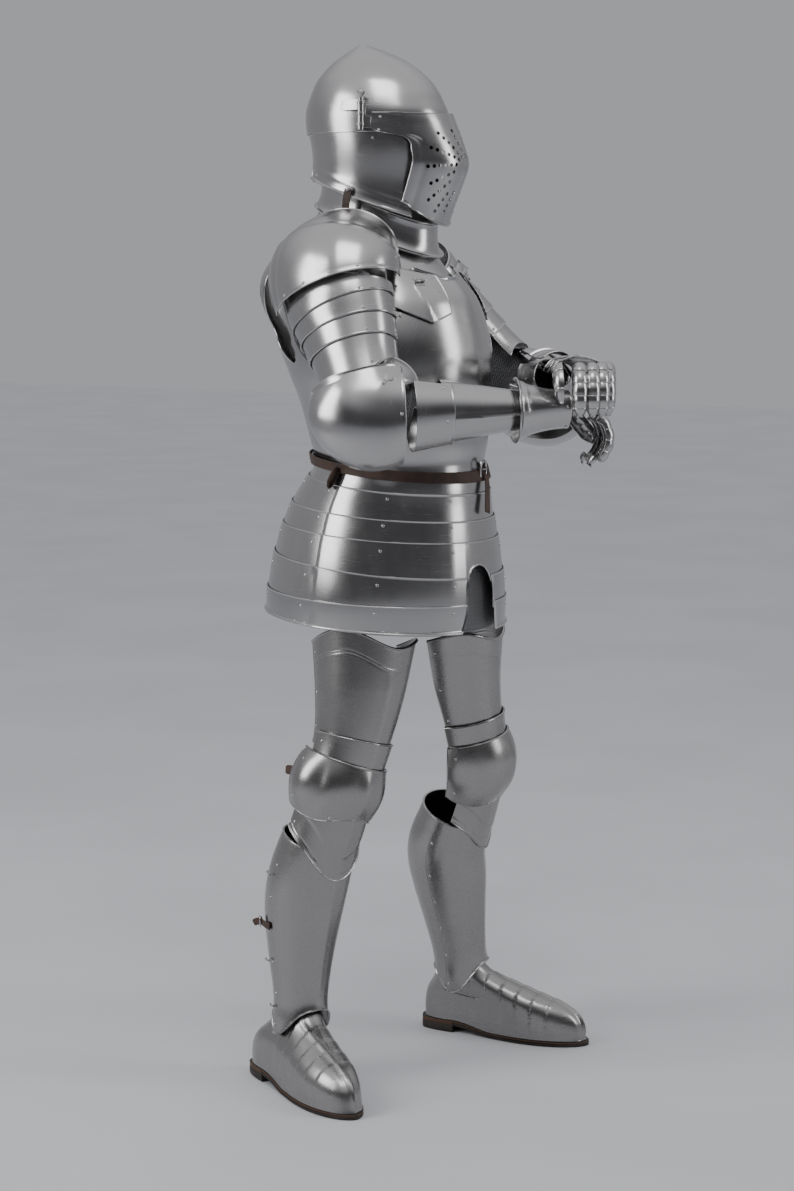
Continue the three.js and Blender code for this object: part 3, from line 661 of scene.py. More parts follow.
TORSO = Form(
    path=[[1090, 0, 0, 1090], [1128, 0, 1, 1128], [1173, 0, 3, 1173], [1245, 0, 9, 1245],
          [1300, 0, 19, 1300], [1357, 0, 28, 1357], [1429, 0, 34, 1429], [1487, 0, 39, 1487],
          [1530, 0, 43, 1530], [1565, 0, 45, 1565], [1640, 0, 45, 1640]],
    size=[[1090, 162, 156, 156], [1128, 158, 152, 152], [1173, 166, 163, 164],
          [1245, 180, 171, 178], [1300, 190, 184, 192], [1357, 190, 190, 206],
          [1429, 168, 174, 196], [1487, 142, 144, 172],
          [1530, 112, 126, 138], [1565, 90, 116, 114], [1640, 88, 113, 111]],
    front=(0, -1, 0), hand=-1, level=True,
    tilt=curve([[1400, 0], [1430, 0], [1487, 14], [1530, 38], [1560, 52], [1640, 52]]))

HIPS = Form(
    path=[[840, 0, 33, 840], [900, 0, 31, 900], [955, 0, 29, 955], [1008, 0, 26, 1008],
          [1063, 0, 19, 1063], [1101, 0, 8, 1101], [1128, 0, 1, 1128], [1150, 0, 1, 1150]],
    size=[[840, 220, 222, 222], [900, 217, 219, 219], [955, 207, 211, 211], [1008, 194, 200, 200],
          [1063, 178, 184, 184], [1101, 168, 168, 168], [1128, 160, 154, 154],
          [1150, 162, 156, 156]],
    front=(0, -1, 0), hand=-1, level=True)

HELMET_TURN = math.radians(10)
HEAD_FRONT = (math.sin(HELMET_TURN), -math.cos(HELMET_TURN), 0)
APEX, BOWL_RIM = 1888, 1727
HELMET_EDGE = tilted(1607, 44)
SKULL = Form(
    path=[[1560, 0, 42, 1560], [1637, 0, 42, 1637], [1700, 0, 42, 1700], [1734, 0, 46, 1734],
          [1762, 0, 49, 1762], [1778, 0, 51, 1778], [1801, 0, 53, 1801], [1825, 0, 57, 1825],
          [1853, 0, 63, 1853], [1872, 0, 71, 1872], [1881, 0, 77, 1881], [APEX, 0, 80, APEX]],
    size=[[1560, 99, 125, 125], [1637, 99, 123, 123], [1700, 103, 128, 128], [1734, 104, 131, 131],
          [1762, 103, 130, 130], [1778, 100, 125, 125], [1801, 92, 115, 115], [1825, 79, 99, 99],
          [1853, 54, 67, 67], [1872, 27, 32, 32], [1881, 11, 13, 13], [APEX, 0.01, 0.01, 0.01]],
    front=HEAD_FRONT, hand=-1, level=True)

VISOR = Form(
    path=[[1540, 0, 42, 1540], [1800, 0, 42, 1800]],
    size=[[1540, 106, 120, 124], [1562, 106, 127, 127], [1600, 107, 140, 127],
          [1640, 109, 157, 130], [1672, 110, 167, 132], [1700, 111, 160, 134],
          [1740, 112.5, 144, 134], [1762, 112.5, 135, 133], [1800, 100, 120, 120]],
    front=HEAD_FRONT, hand=-1, level=True)
BEAK = 1672
VISOR_EDGES = curve([[0, 1761, 1762, 78], [1, 1738, 1731, 78], [2, 1712, 1716, 56],
                     [3, 1674, 1690, 54], [4, 1638, 1660, 55], [5, 1600, 1630, 56],
                     [6, 1562, 1604, 57]])

ARM_POINTS = {
    "right": dict(hand=1, neck=(-86, 34, 1534), ridge=(-138, 27, 1517), shoulder=(-190, 14, 1482),
                  elbow=(-262, -100, 1240), wrist=(-69, -320, 1244), besagew=(18, 56)),
    "left": dict(hand=-1, neck=(106, 66, 1520), ridge=(140, 72, 1484), shoulder=(176, 74, 1434),
                 elbow=(290, -118, 1240), wrist=(64, -278, 1296), besagew=(-34, -58)),
}


def arm_forms(hand, neck, ridge, shoulder, elbow, wrist, **_):
    """The forms of one arm: upper arm, bent elbow, forearm, and the mail sleeve inside."""
    s, e, w = (np.array(p, float) for p in (shoulder, elbow, wrist))
    upper, fore = unit(e - s), unit(w - e)
    away = unit(upper - fore)
    hinge = unit(np.cross(upper, fore)) * hand
    reach = float(np.linalg.norm(e - s))

    def on(base, way, d, out=0.0):
        return list(base + way * d + away * out)

    arm = Form(
        path=[[-125, *neck], [-62, *ridge], [0, *shoulder], [60, *on(s, upper, 60, 4)],
              [120, *on(s, upper, 120)], [reach, *elbow]],
        size=[[-125, 52, 62, 70], [-62, 66, 90, 98], [0, 78, 104, 110], [60, 78, 96, 102],
              [120, 71, 84, 90], [190, 64, 70, 74], [292, 58, 62, 64]],
        front=(0, -1, 0), hand=hand)
    bend = Form(
        path=[[-90, *on(e, upper, -90)], [-40, *on(e, upper, -40)], [0, *on(e, upper, 0, -8)],
              [40, *on(e, fore, 40)], [150, *on(e, fore, 150)]],
        size=[[-90, 66, 66, 66], [-40, 78, 72, 70], [0, 92, 75, 74], [40, 80, 71, 70],
              [150, 58, 58, 58]],
        front=hinge, hand=hand)
    forearm = Form(
        path=[[0, *elbow], [290, *wrist], [360, *on(w, fore, 70)]],
        size=[[0, 72, 68, 66], [60, 68, 62, 60], [140, 53, 52, 50], [193, 45, 44, 44],
              [255, 35, 36, 38], [290, 31, 34, 38], [360, 28, 36, 40]],
        front=hinge, hand=hand)
    sleeve = Form(
        path=[[0, *on(s, upper, 10)], [110, *on(s, upper, 120)], [190, *on(e, upper, -75)],
              [240, *on(e, upper, -28, -14)], [290, *on(e, fore, 34, -14)],
              [330, *on(e, fore, 80)]],
        size=[[0, 46, 54, 58], [110, 47, 52, 54], [190, 47, 49, 51], [240, 50, 50, 50],
              [290, 50, 48, 48], [330, 48, 46, 46]],
        front=hinge, hand=hand)
    return dict(arm=arm, bend=bend, forearm=forearm, sleeve=sleeve)


ARM_FORMS = {side: arm_forms(**ARM_POINTS[side]) for side in SIDES}

# Points of a hand are [across it, along it, up] from the middle of the knuckles.
HANDS = {
    "right": dict(
        palm=[(-41, -355, 1243), (-21, -379, 1240), (-3, -400, 1232)], up=(0.1, -0.1, 1),
        across=(0.78, 0.62, 0), ahead=(0.62, -0.78, 0),
        knuckles=[(-28, 0), (-6, 4), (16, 4), (37, -2)],
        curl=[(0, -6), (10, -14), (17, -38), (9, -62), (-12, -84)],
        thumb=[(27, -36, 6), (35, -24, -8), (33, -8, -28), (24, 6, -46)]),
    "left": dict(
        palm=[(4, -322, 1304), (-22, -355, 1313), (-40, -386, 1314)], up=(0, 0, 1),
        across=(-0.53, 0.848, 0), ahead=(-0.848, -0.53, 0),
        knuckles=[(-52, -14), (-41, -4), (-24, 6), (-2, 12)],
        curl=[(8, 2), (22, -3), (36, -22), (40, -48), (34, -78)],
        thumb=[(24, -26, 4), (30, 6, 4), (28, 34, -18), (26, 38, -56)]),
}

LEGS = {
    "right": dict(hand=1, turn=-18, heel=(-181, 198), toe=(-325, -112), path=[
        [90, -210, 88], [155, -205, 89], [248, -200, 90], [323, -197, 86], [379, -193, 78],
        [437, -190, 62], [495, -186, 42], [560, -178, 24], [642, -160, 4], [731, -140, -1],
        [830, -118, 3]]),
    "left": dict(hand=-1, turn=8, heel=(226, 80), toe=(272, -255), path=[
        [90, 224, -4], [155, 214, -4], [248, 199, 0], [323, 186, 3], [379, 175, 2],
        [437, 170, -18], [495, 162, -42], [560, 150, -66], [642, 135, -62], [731, 120, -53],
        [830, 106, -52]]),
}
LEG_GIRTH = [[90, 52, 66, 58], [120, 50, 60, 54], [155, 50, 54, 54], [188, 53, 55, 57],
             [248, 62, 62, 66], [323, 72, 72, 78], [379, 76, 74, 80], [437, 74, 70, 74],
             [495, 68, 66, 66], [560, 68, 66, 64], [642, 70, 70, 68], [731, 83, 82, 80],
             [830, 97, 95, 94]]


def leg_form(hand, turn, path, **_):
    """The form of one leg, from the ankle up to the top of the thigh."""
    a = math.radians(turn)
    return Form(path=[[z, x, y, z] for z, x, y in path], size=LEG_GIRTH,
                front=(math.sin(a), -math.cos(a), 0), hand=-hand)


LEG_FORMS = {side: leg_form(**LEGS[side]) for side in SIDES}


# ---------------------------------------------------------------- settings

class ArmourSettings(PropertyGroup):
    """Sizes and colours of the suit that a user would change."""
    steel_colour: FloatVectorProperty(
        name="Steel colour", description="Colour of the polished plates", subtype="COLOR", size=3,
        default=(0.46, 0.455, 0.455), min=0, max=1)
    # Darker than the polished steel: painted shade standing in for the darker reflections on the
    # legs.
    leg_colour: FloatVectorProperty(
        name="Leg steel colour", description="Colour of the duller leg plates", subtype="COLOR",
        size=3, default=(0.34, 0.333, 0.33), min=0, max=1)
    roughness: FloatProperty(
        name="Roughness", description="Roughness of the polished steel", default=0.23,
        min=0.05, max=1)
    mail_colour: FloatVectorProperty(
        name="Mail colour", description="Colour of the rings", subtype="COLOR", size=3,
        default=(0.30, 0.30, 0.31), min=0, max=1)
    mail_ring: FloatProperty(
        name="Ring width", description="Outer width of one ring of the mail", default=0.0085,
        min=0.004, max=0.02, unit="LENGTH")
    leather_colour: FloatVectorProperty(
        name="Leather colour", description="Colour of the belt and straps", subtype="COLOR", size=3,
        default=(0.055, 0.026, 0.015), min=0, max=1)
    floor_colour: FloatVectorProperty(
        name="Floor colour", description="Colour of the plain floor", subtype="COLOR", size=3,
        default=(0.575, 0.58, 0.605), min=0, max=1)
    light_power: FloatProperty(
        name="Light power", description="Power of the main soft light", default=92.0, min=0,
        max=2000, unit="POWER")


def settings():
    """The scene's settings for the suit."""
    return bpy.context.scene.armour


SOLE_COLOUR, SOLE_EDGE_COLOUR = (0.022, 0.016, 0.013), (0.10, 0.045, 0.02)


def finish_of(kind):
    """The material of a finish, made when it is first asked for."""
    found = bpy.data.materials.get(kind)
    if found:
        return found
    s = settings()
    make = {
        "polished_steel": lambda: steel_paint(kind, tuple(s.steel_colour), s.roughness),
        # Leg steel: its darker colour is painted shade for the legs; the higher roughness and
        # stronger clouds are its duller finish.
        "leg_steel_with_painted_shade": lambda: steel_paint(kind, tuple(s.leg_colour), s.roughness + 0.05, 1.2, 0.08),
        "rivet_steel": lambda: steel_paint(
            kind, tuple(s.steel_colour), s.roughness + 0.02, 0.2, 0.03),
        "mail_rings": lambda: mail_paint(kind, tuple(s.mail_colour), s.mail_ring),
        "strap_leather": lambda: leather_paint(kind, tuple(s.leather_colour), 0.5),
        "sole_leather_finish": lambda: leather_paint(kind, SOLE_COLOUR, 0.6, SOLE_EDGE_COLOUR),
    }
    return make[kind]()


# ---------------------------------------------------------------- body

BREAST_TOP = by_angle([[0, 1482], [24, 1500], [36, 1506], [48, 1440], [60, 1375],
                       [72, 1322], [96, 1280]])
BACK_TOP = by_angle([[84, 1284], [108, 1330], [120, 1390], [132, 1450], [144, 1480], [180, 1496]])
YOKE_FOOT = by_angle([[0, 1474], [60, 1490], [90, 1508], [120, 1492], [180, 1474]])
WAIST = tilted(1126, 15)


def make_cuirass():
    """Breastplate with a faint keel and a sunk border, over a backplate with a hollow spine."""
    steel = finish_of("polished_steel")

    def chest(s, phi, u, v):
        keel = 3.5 * bump(phi, 7) * step_up(s - 1200, 120)
        border = -1.2 * step_up(s - BREAST_TOP(phi) + 15, 4)
        return keel + border + 4 * bump(s - 1124, 14)

    def spine(s, phi, u, v):
        off = np.abs(phi - 180)
        hollow = -4 * bump(off, 12) * step_up(1440 - s, 120)
        return hollow + 3 * bump(off - 42, 22) * bump(s - 1410, 60)

    breast = form_plate(TORSO, -96, 96, BREAST_TOP, WAIST, 0.0, chest)
    back = form_plate(TORSO, 84, 276, BACK_TOP, WAIST, -PITCH, spine)
    plate_of("breastplate", breast, 72, 48, steel, roll=(3.2, 0.8, 1.0, 1.0))
    plate_of("backplate", back, 72, 48, steel, roll=(2.6, 0.8, 0.8, 0.8))
    rivet_heads("cuirass_rivets", [
        (breast, column_of(3, 0.022, 0.25, 0.9) + column_of(3, 0.978, 0.25, 0.9)
         + [(0.24, 0.08), (0.76, 0.08), (0.3, 0.04), (0.7, 0.04)]),
        (back, [(0.3, 0.06), (0.7, 0.06), (0.36, 0.05), (0.64, 0.05)])])


def make_gorget():
    """Standing collar with a rolled rim over a sloping yoke, and the clasp that closes it."""
    steel = finish_of("polished_steel")

    def flare(s, phi, u, v):
        return 5.0 * np.clip(v - 0.55, 0, 1) ** 2 / 0.2 + 1.5 * bump(v - 0.1, 0.06)

    collar = form_plate(TORSO, 0, 360, 1621, 1553, 0.0, flare)
    yoke = form_plate(TORSO, 0, 360, 1564, YOKE_FOOT, lambda u, v: -3.4 - 11 * v)
    plate_of("gorget_collar", collar, 96, 16, steel, roll=(3.2, 2.2))
    plate_of("gorget_yoke", yoke, 96, 16, steel)
    hinge = 62 / 360
    at, out = collar.point(hinge, 0.86), collar.outward(hinge, 0.86)
    down = unit(collar.point(hinge, 1.0) - at)
    path = at + out * 3 + down * np.linspace(-9, 16, 9)[:, None]
    plate = sweep("clasp_plate", path, out, strap_outline(16, 2.6), steel,
                  scale=1 - 0.35 * np.abs(np.linspace(-1, 1, 9)) ** 3)
    turn = np.linspace(0, 2 * np.pi, 20, endpoint=False)
    side = np.cross(out, down)
    round_ = np.cos(turn)[:, None] * side + np.sin(turn)[:, None] * down
    ring = at + out * 6 + down * 10 + 6.5 * round_
    loop = sweep("clasp_loop", ring, out, disc_outline(1.7, 8), steel, loop=True)
    pin = sweep("clasp_pin", at + out * np.linspace(1, 9, 6)[:, None] - down * 3, side,
                disc_outline(3.4, 12), steel, scale=[1, 1, 0.75, 1.1, 1.1, 0.7])
    join("gorget_clasp", [plate, loop, pin], finish_of("rivet_steel"))


FAULD_EDGES = [1138, 1101, 1053, 1015, 958, 900, 850]
FAULD_TILTS = [16, 15, 15, 14, 20, 10, 14]
FAULD_LAP = 13
# Angle of the side seams; the lames after the first four are split by the slot, and their
# rivets and seams are counted from about the slot's near edge, over the angle that is left.
SEAM = 95
WHOLE_LAMES = 4
SPLIT_FROM, SPLIT_SPAN = 15.5, 341
SLOT_CENTRE, SLOT_HALF, SLOT_CROWN, SLOT_SPRING = -23, 36, 957, 915
SLOT_SIDES = curve([[780, 66], [836, 50], [872, 40], [915, SLOT_HALF]])


def slot_half(z):
    """Half width of the arch at a height: a half ellipse above its spring, spreading below."""
    t = np.clip((z - SLOT_SPRING) / (SLOT_CROWN - SLOT_SPRING), 0, 0.995)
    return np.where(z > SLOT_SPRING, SLOT_HALF * np.sqrt(1 - t * t), SLOT_SIDES(z)[..., 0])


def fauld_plate(i):
    """Lame i of the fauld, shaped round the arched slot at the front where it reaches it.

    The front half of each lame stands a little proud of the back half, along a seam at each side.
    """
    top = tilted(FAULD_EDGES[i], FAULD_TILTS[i])
    lap = FAULD_LAP if i < 5 else 0
    foot = tilted(FAULD_EDGES[i + 1] - lap, FAULD_TILTS[i + 1])

    def seam(s, phi, u, v):
        x = np.abs((phi + 540) % 360 - 180)
        fold = 1.1 * bump(x - 24, 2.2) if 2 <= i <= 4 else 0.0
        return 1.4 * step_up(SEAM - x, 0.8) - 0.7 + fold

    lift = lambda u, v: PITCH * (1 - v)
    if i < 3:
        return form_plate(HIPS, -180, 180, top, foot, lift, seam)
    if i == 3:
        def notched(phi):
            x = -HIPS.girth(np.full(np.shape(phi), 940.0))[..., 0] * np.sin(np.radians(phi))
            t = np.clip(np.abs(x - SLOT_CENTRE) / SLOT_HALF, 0, 1)
            arch = SLOT_SPRING + (SLOT_CROWN - SLOT_SPRING) * np.sqrt(1 - t * t)
            return np.where(np.abs(phi) < 60, np.maximum(foot(phi), np.where(t < 1, arch, 0)),
                            foot(phi))
        return form_plate(HIPS, -180, 180, top, notched, lift, seam)

    def where(u, v):
        near, far = np.full(u.shape, 16.0), np.full(u.shape, -3.0)
        for _ in range(4):
            z0 = top(near) + (foot(near) - top(near)) * v
            z1 = top(far) + (foot(far) - top(far)) * v
            near = np.degrees(np.arcsin((slot_half(z0) - SLOT_CENTRE) / HIPS.girth(z0)[..., 0]))
            far = -np.degrees(np.arcsin((slot_half(z1) + SLOT_CENTRE) / HIPS.girth(z1)[..., 0]))
        phi = near + (360 + far - near) * u
        return top(phi) + (foot(phi) - top(phi)) * v, phi

    return Plate(lambda u, v, h: HIPS.place(*where(u, v), h), lift,
                 lambda u, v: seam(*where(u, v), u, v))


def make_fauld():
    """Six overlapping lames with a rolled hem and a rolled arch, and their rivets."""
    steel = finish_of("polished_steel")
    pairs = []
    for i in range(6):
        lame = fauld_plate(i)
        rolls = (1.2, 3.2 if i == 5 else (1.6 if i == 3 else 0.8), 2.4, 2.4)
        seams = np.array([SEAM - 0.5, SEAM, SEAM + 0.5])
        if i < WHOLE_LAMES:
            marks = (np.concatenate([-seams, seams]) + 180) / 360
            if i == 3:
                marks = np.concatenate([marks, (np.linspace(-4.6, 17, 50) + 180) / 360])
        else:
            marks = (np.concatenate([seams, 360 - seams]) - SPLIT_FROM) / SPLIT_SPAN
        plate_of(f"fauld_lame_{i + 1}", lame, 120, 12, steel, roll=rolls, u_marks=marks)
        if i < WHOLE_LAMES:
            around = [(a + 180) / 360 for a in (-140, -101, -62, -24, 24, 62, 101, 140)]
        else:
            around = [(a - SPLIT_FROM) / SPLIT_SPAN for a in (24, 62, 101, 140, 220, 259, 298, 336)]
        pairs.append((lame, [(u, 0.18 + 0.02 * i) for u in around]))
        if i == 5:
            hem = (0.1, 0.12, 0.24, 0.26, 0.5, 0.74, 0.76, 0.88, 0.9)
            pairs.append((lame, [(u, 0.9) for u in hem]))
    rivet_heads("fauld_rivets", pairs)


def make_belt():
    """Narrow leather belt with its buckle in front, a hanging end and a side loop."""
    leather, steel = finish_of("strap_leather"), finish_of("rivet_steel")
    lift = PITCH + WALL + BELT_WALL
    belt = form_plate(HIPS, 0, 360, tilted(1141, 17), tilted(1121, 17), lift, wall=BELT_WALL)
    build("belt_leather", belt, 120, 6, leather, roll=(1.3, 1.3), nodes=["belt"], slot="leather")
    phi, drop = np.linspace(350, 358, 10), np.linspace(0, 1, 10)
    high = 1114 - 66 * drop ** 1.25
    tail = HIPS.place(high, phi, lift + 4 + 3 * drop)
    out = HIPS.place(high, phi, lift + 14) - tail
    end = sweep("tail", tail, out, strap_outline(17, 2.4), leather)
    t = np.linspace(0, 2 * np.pi, 14, endpoint=False)
    ring = HIPS.place(1115 + 17 * np.cos(t), 100.0, lift + 3 + 5 * np.sin(t) + 1.5)
    side = sweep("side_loop", ring, HIPS.point(1115, 106, lift) - ring, strap_outline(2.4, 11),
                 leather, loop=True)
    ring = HIPS.place(1124 + 14 * np.cos(t), 346.0, lift + 1 + 3.4 * np.sin(t))
    keeper = sweep("keeper", ring, HIPS.point(1124, 340, lift) - HIPS.point(1124, 346, lift),
                   strap_outline(2.0, 9), leather, loop=True)
    join("belt_end_and_loop", [end, side, keeper], leather, slot="leather")
    here = HIPS.point(1125, 352, lift + 3)
    out = unit(HIPS.point(1125, 352, lift + 10) - here)
    up = np.array([0.0, 0, 1])
    side_way = unit(np.cross(up, out))
    ring = buckle_ring(here, side_way, up, 13, 15, 0.55, 28)
    hoop = sweep("buckle_frame", ring, out, disc_outline(2.1, 8), steel, loop=True)
    reach = np.linspace(-11, 14, 6)[:, None]
    tongue = sweep("buckle_tongue", here + side_way * reach + out * 2.4, out, disc_outline(1.7, 8),
                   steel, scale=[1, 1, 1, 1, 0.9, 0.5])
    join("belt_buckle", [hoop, tongue], steel)


MAIL_GAP = 15.0


def make_mail():
    """Mail skirt under the fauld and a mail sleeve inside each arm."""
    rings = finish_of("mail_rings")
    wave = lambda s, phi, u, v: 2.2 * np.sin(np.radians(phi) * 9) * v ** 2
    skirt = form_plate(HIPS, 0, 360, 1062, tilted(852, 14), -MAIL_GAP, wave, wall=MAIL_WALL)
    hung = build("mail_skirt_rings", skirt, 120, 24, rings, slot="mail", nodes=["mail_skirt"])
    for side in SIDES:
        crease = lambda s, phi, u, v: 1.6 * np.sin(s * 0.16) * bump(s - 250, 60)
        sleeve = form_plate(ARM_FORMS[side]["sleeve"], 0, 360, 0, 325, 0.0, crease, wall=MAIL_WALL)
        hung = build(f"mail_sleeve_{side}_rings", sleeve, 48, 60, rings, slot="mail",
                     nodes=[f"mail_sleeve_{side}"])


# ---------------------------------------------------------------- helmet

def make_helmet():
    """Pointed skull with a faint comb, lapped over the nape and cheek plate."""
    steel = finish_of("polished_steel")
    depth = APEX - BOWL_RIM

    def dome(u, v, lift):
        return SKULL.place(APEX - depth * (1 - np.cos(np.radians(90 * v))), 360 * u, lift)

    def comb(u, v):
        phi = 360 * u
        x = np.abs((phi + 540) % 360 - 180)
        fade = np.sin(np.clip(v, 0, 1) * np.pi * 0.5) * (1 - 0.7 * v)
        return fade * (2.6 * bump(x, 7) + 2.6 * bump(x - 180, 7))

    bowl = Plate(dome, PITCH, comb, closed=True)
    plate_of("skull_bowl", bowl, 120, 48, steel, roll=(0, 0.9))

    def nape(s, phi, u, v):
        low = s - HELMET_EDGE(phi)
        return 5.5 * np.exp(-low / 13) + 1.2 * bump(low - 22, 4)

    wall = form_plate(SKULL, 45, 315, BOWL_RIM + 14, HELMET_EDGE, 0.0, nape)
    plate_of("skull_wall", wall, 90, 36, steel, roll=(0.8, 2.4, 0.8, 0.8))
    hem = [(0.2, 0.85), (0.36, 0.88), (0.5, 0.88), (0.64, 0.88), (0.8, 0.85)]
    rivet_heads("helmet_rivets", [(wall, row_of(7, 0.12, 0.88, 0.17) + hem)])


def arc_angle(z, arc):
    """Angle on the visor's form at height z that lies a given arc length from its middle."""
    phi = np.linspace(0, 80, 161)
    line = VISOR.place(np.full(161, float(z)), phi, 0.0)
    run = np.concatenate([[0], np.cumsum(np.linalg.norm(np.diff(line, axis=0), axis=1))])
    return np.interp(arc, run, phi)


# Rays of breath holes from the beak on each cheek: angle above level, nearest hole, how many.
BREATH_RAYS = [(76, 14, 5), (46, 16, 6), (20, 22, 6), (-4, 28, 6), (-26, 34, 5), (-44, 46, 5),
               (-62, 60, 4), (-78, 52, 4)]
BREATH_STEP, BREATH_RADIUS, DRILL_REACH = 11.5, 3.5, 9.0


def breath_holes():
    """Middles and outward directions of the breath holes of both cheeks."""
    points, outward = [], []
    for side in (1, -1):
        for degrees, near, count in BREATH_RAYS:
            far = near + BREATH_STEP * np.arange(count)
            z = BEAK + far * math.sin(math.radians(degrees))
            phi = side * arc_angle(BEAK, 5 + far * math.cos(math.radians(degrees)))
            at = VISOR.place(z, phi, 0.0)
            points.append(at)
            outward.append(VISOR.place(z, phi, 5.0) - at)
    return np.concatenate(points), unit(np.concatenate(outward))


def carve(piece, cutter):
    """Cuts one mesh out of another and removes the cutter."""
    cut = piece.modifiers.new("cut", "BOOLEAN")
    cut.operation, cut.solver, cut.object = "DIFFERENCE", "EXACT", cutter
    graph = bpy.context.evaluated_depsgraph_get()
    made = bpy.data.meshes.new_from_object(piece.evaluated_get(graph))
    piece.modifiers.remove(cut)
    old = piece.data
    piece.data = made
    bpy.data.meshes.remove(old)
    old = cutter.data
    bpy.data.objects.remove(cutter)
    bpy.data.meshes.remove(old)
    if len(made.polygons) < 100:
        raise RuntimeError(f"{piece.name}: the cut left nothing")


def make_visor():
    """Pointed visor drawn to a beak, pierced with rays of breath holes on both cheeks."""
    steel = finish_of("polished_steel")

    def where(u, v):
        middle, rear, reach = np.moveaxis(VISOR_EDGES(6 * v), -1, 0)
        across = 2 * u - 1
        return middle + (rear - middle) * across ** 2, reach * across

    def face(u, v, lift):
        s, phi = where(u, v)
        return VISOR.place(s, phi, lift)

    def beak(u, v):
        s, phi = where(u, v)
        across = 2 * u - 1
        keel = 3.0 * bump(phi, 5)
        cheek = -2.0 * bump(np.abs(across) - 0.84, 0.05) * step_up(v - 0.3, 0.1)
        return keel + cheek

    visor = Plate(face, relief=beak)
    shell = plate_of("visor", visor, 88, 64, steel, roll=(1.2, 2.0, 1.1, 1.1), body="visor")
    points, outward = breath_holes()
    ends = np.array([[-DRILL_REACH], [DRILL_REACH]])
    drills = [sweep(f"drill_{k}", p + o * ends, (0.3, 0.2, 1), disc_outline(BREATH_RADIUS, 10),
                    steel)
              for k, (p, o) in enumerate(zip(points, outward))]
    carve(shell, join("drills", drills, steel))
    shell.data.shade_smooth()
    shell.data.set_sharp_from_angle(angle=PIERCED_ANGLE)
    spots = [(0.02, 0.18), (0.98, 0.18), (0.045, 0.05), (0.955, 0.05)]
    rivet_heads("visor_rivets", [(visor, spots)], body="visor")


# Heights of the stations of a hinge's barrel, and its radius at each before scaling.
BARREL_HEIGHTS = [1729, 1731, 1737, 1738, 1741, 1742, 1756, 1757, 1760, 1761, 1775, 1776, 1780,
                  1781, 1786, 1788, 1790, 1793, 1797, 1800, 1802]
BARREL_RADII = [2.5, 4.6, 4.6, 5.6, 5.6, 4.6, 4.6, 5.6, 5.6, 4.6, 4.6, 5.6, 5.6, 3.8, 3.8, 2.2,
                2.6, 5.2, 6.0, 4.6, 1.5]
BARREL_SCALE = 1.3


def make_visor_hinges():
    """Upright pin hinges at both temples, with ringed barrels and a ball on each pin."""
    steel = finish_of("rivet_steel")
    parts = []
    for side in (1, -1):
        z, r = np.array(BARREL_HEIGHTS, float), BARREL_SCALE * np.array(BARREL_RADII)
        foot = SKULL.point(1750, 84 * side, PITCH + 7.6)
        path = np.stack([np.full(len(z), foot[0]), np.full(len(z), foot[1]), z], axis=1)
        parts.append(sweep(f"barrel_{side}", path, (side, 0, 0.0), disc_outline(1.0, 14), steel,
                           scale=r))
        for high, low in ((1783, 1763), (1754, 1733)):
            phi = side * np.linspace(84, 101 if high > 1760 else 70, 8)
            mid = (high + low) / 2
            rise = PITCH + np.linspace(4.5, 1.6, 8) + (2.5 if high < 1760 else 0)
            leaf = SKULL.place(mid, phi, rise)
            out = SKULL.place(mid, phi, PITCH + 12) - leaf
            parts.append(sweep(f"leaf_{side}_{high}", leaf, out, strap_outline(high - low, 1.6),
                               steel,
                               scale=np.array([1, 1, 1, 1, 1, 1, 0.96, 0.75])))
    join("visor_hinges", parts, steel)


def make_helmet_straps():
    """Short leather from the helmet's rim to the collar, with its stud, and the tab at the nape."""
    leather, steel = finish_of("strap_leather"), finish_of("rivet_steel")
    parts, studs, outs = [], [], []
    for phi in (98.0, 262.0):
        top = SKULL.point(HELMET_EDGE(phi) + 14, phi, 8.5)
        out = unit(SKULL.point(HELMET_EDGE(phi) + 14, phi, 15) - top)
        t = np.linspace(0, 1, 10)[:, None]
        path = top + np.array([0, 7.0, -46]) * t + out * (2.5 * np.sin(np.pi * t))
        parts.append(sweep(f"strap_{phi:.0f}", path, out, strap_outline(15, 2.4), leather))
        studs.append(top + out * 1.6)
        outs.append(out)
    join("helmet_straps", parts, leather, slot="leather")
    domes("helmet_strap_studs", np.array(studs), np.array(outs), 5.2, 3.4, steel, sides=14)
    nape = SKULL.point(HELMET_EDGE(180.0) - 2, 180, 7.0)
    t = np.linspace(0, 1, 8)[:, None]
    tab = sweep("nape_tab", nape + np.array([0, 1.5, 22.0]) * t - np.array([0, 0, 5.0]), (0, 1, 0),
                strap_outline(13, 2.0), steel, scale=[0.8, 1, 1, 1, 1, 0.95, 0.8, 0.5])
    tab.name = "helmet_nape_tab"


# ---------------------------------------------------------------- arms

# The plate before each armpit: heights of its top and its tip, and where its ridge ends.
GUARD_TOP, GUARD_TIP, GUARD_RIDGE = 1484, 1390, 0.35


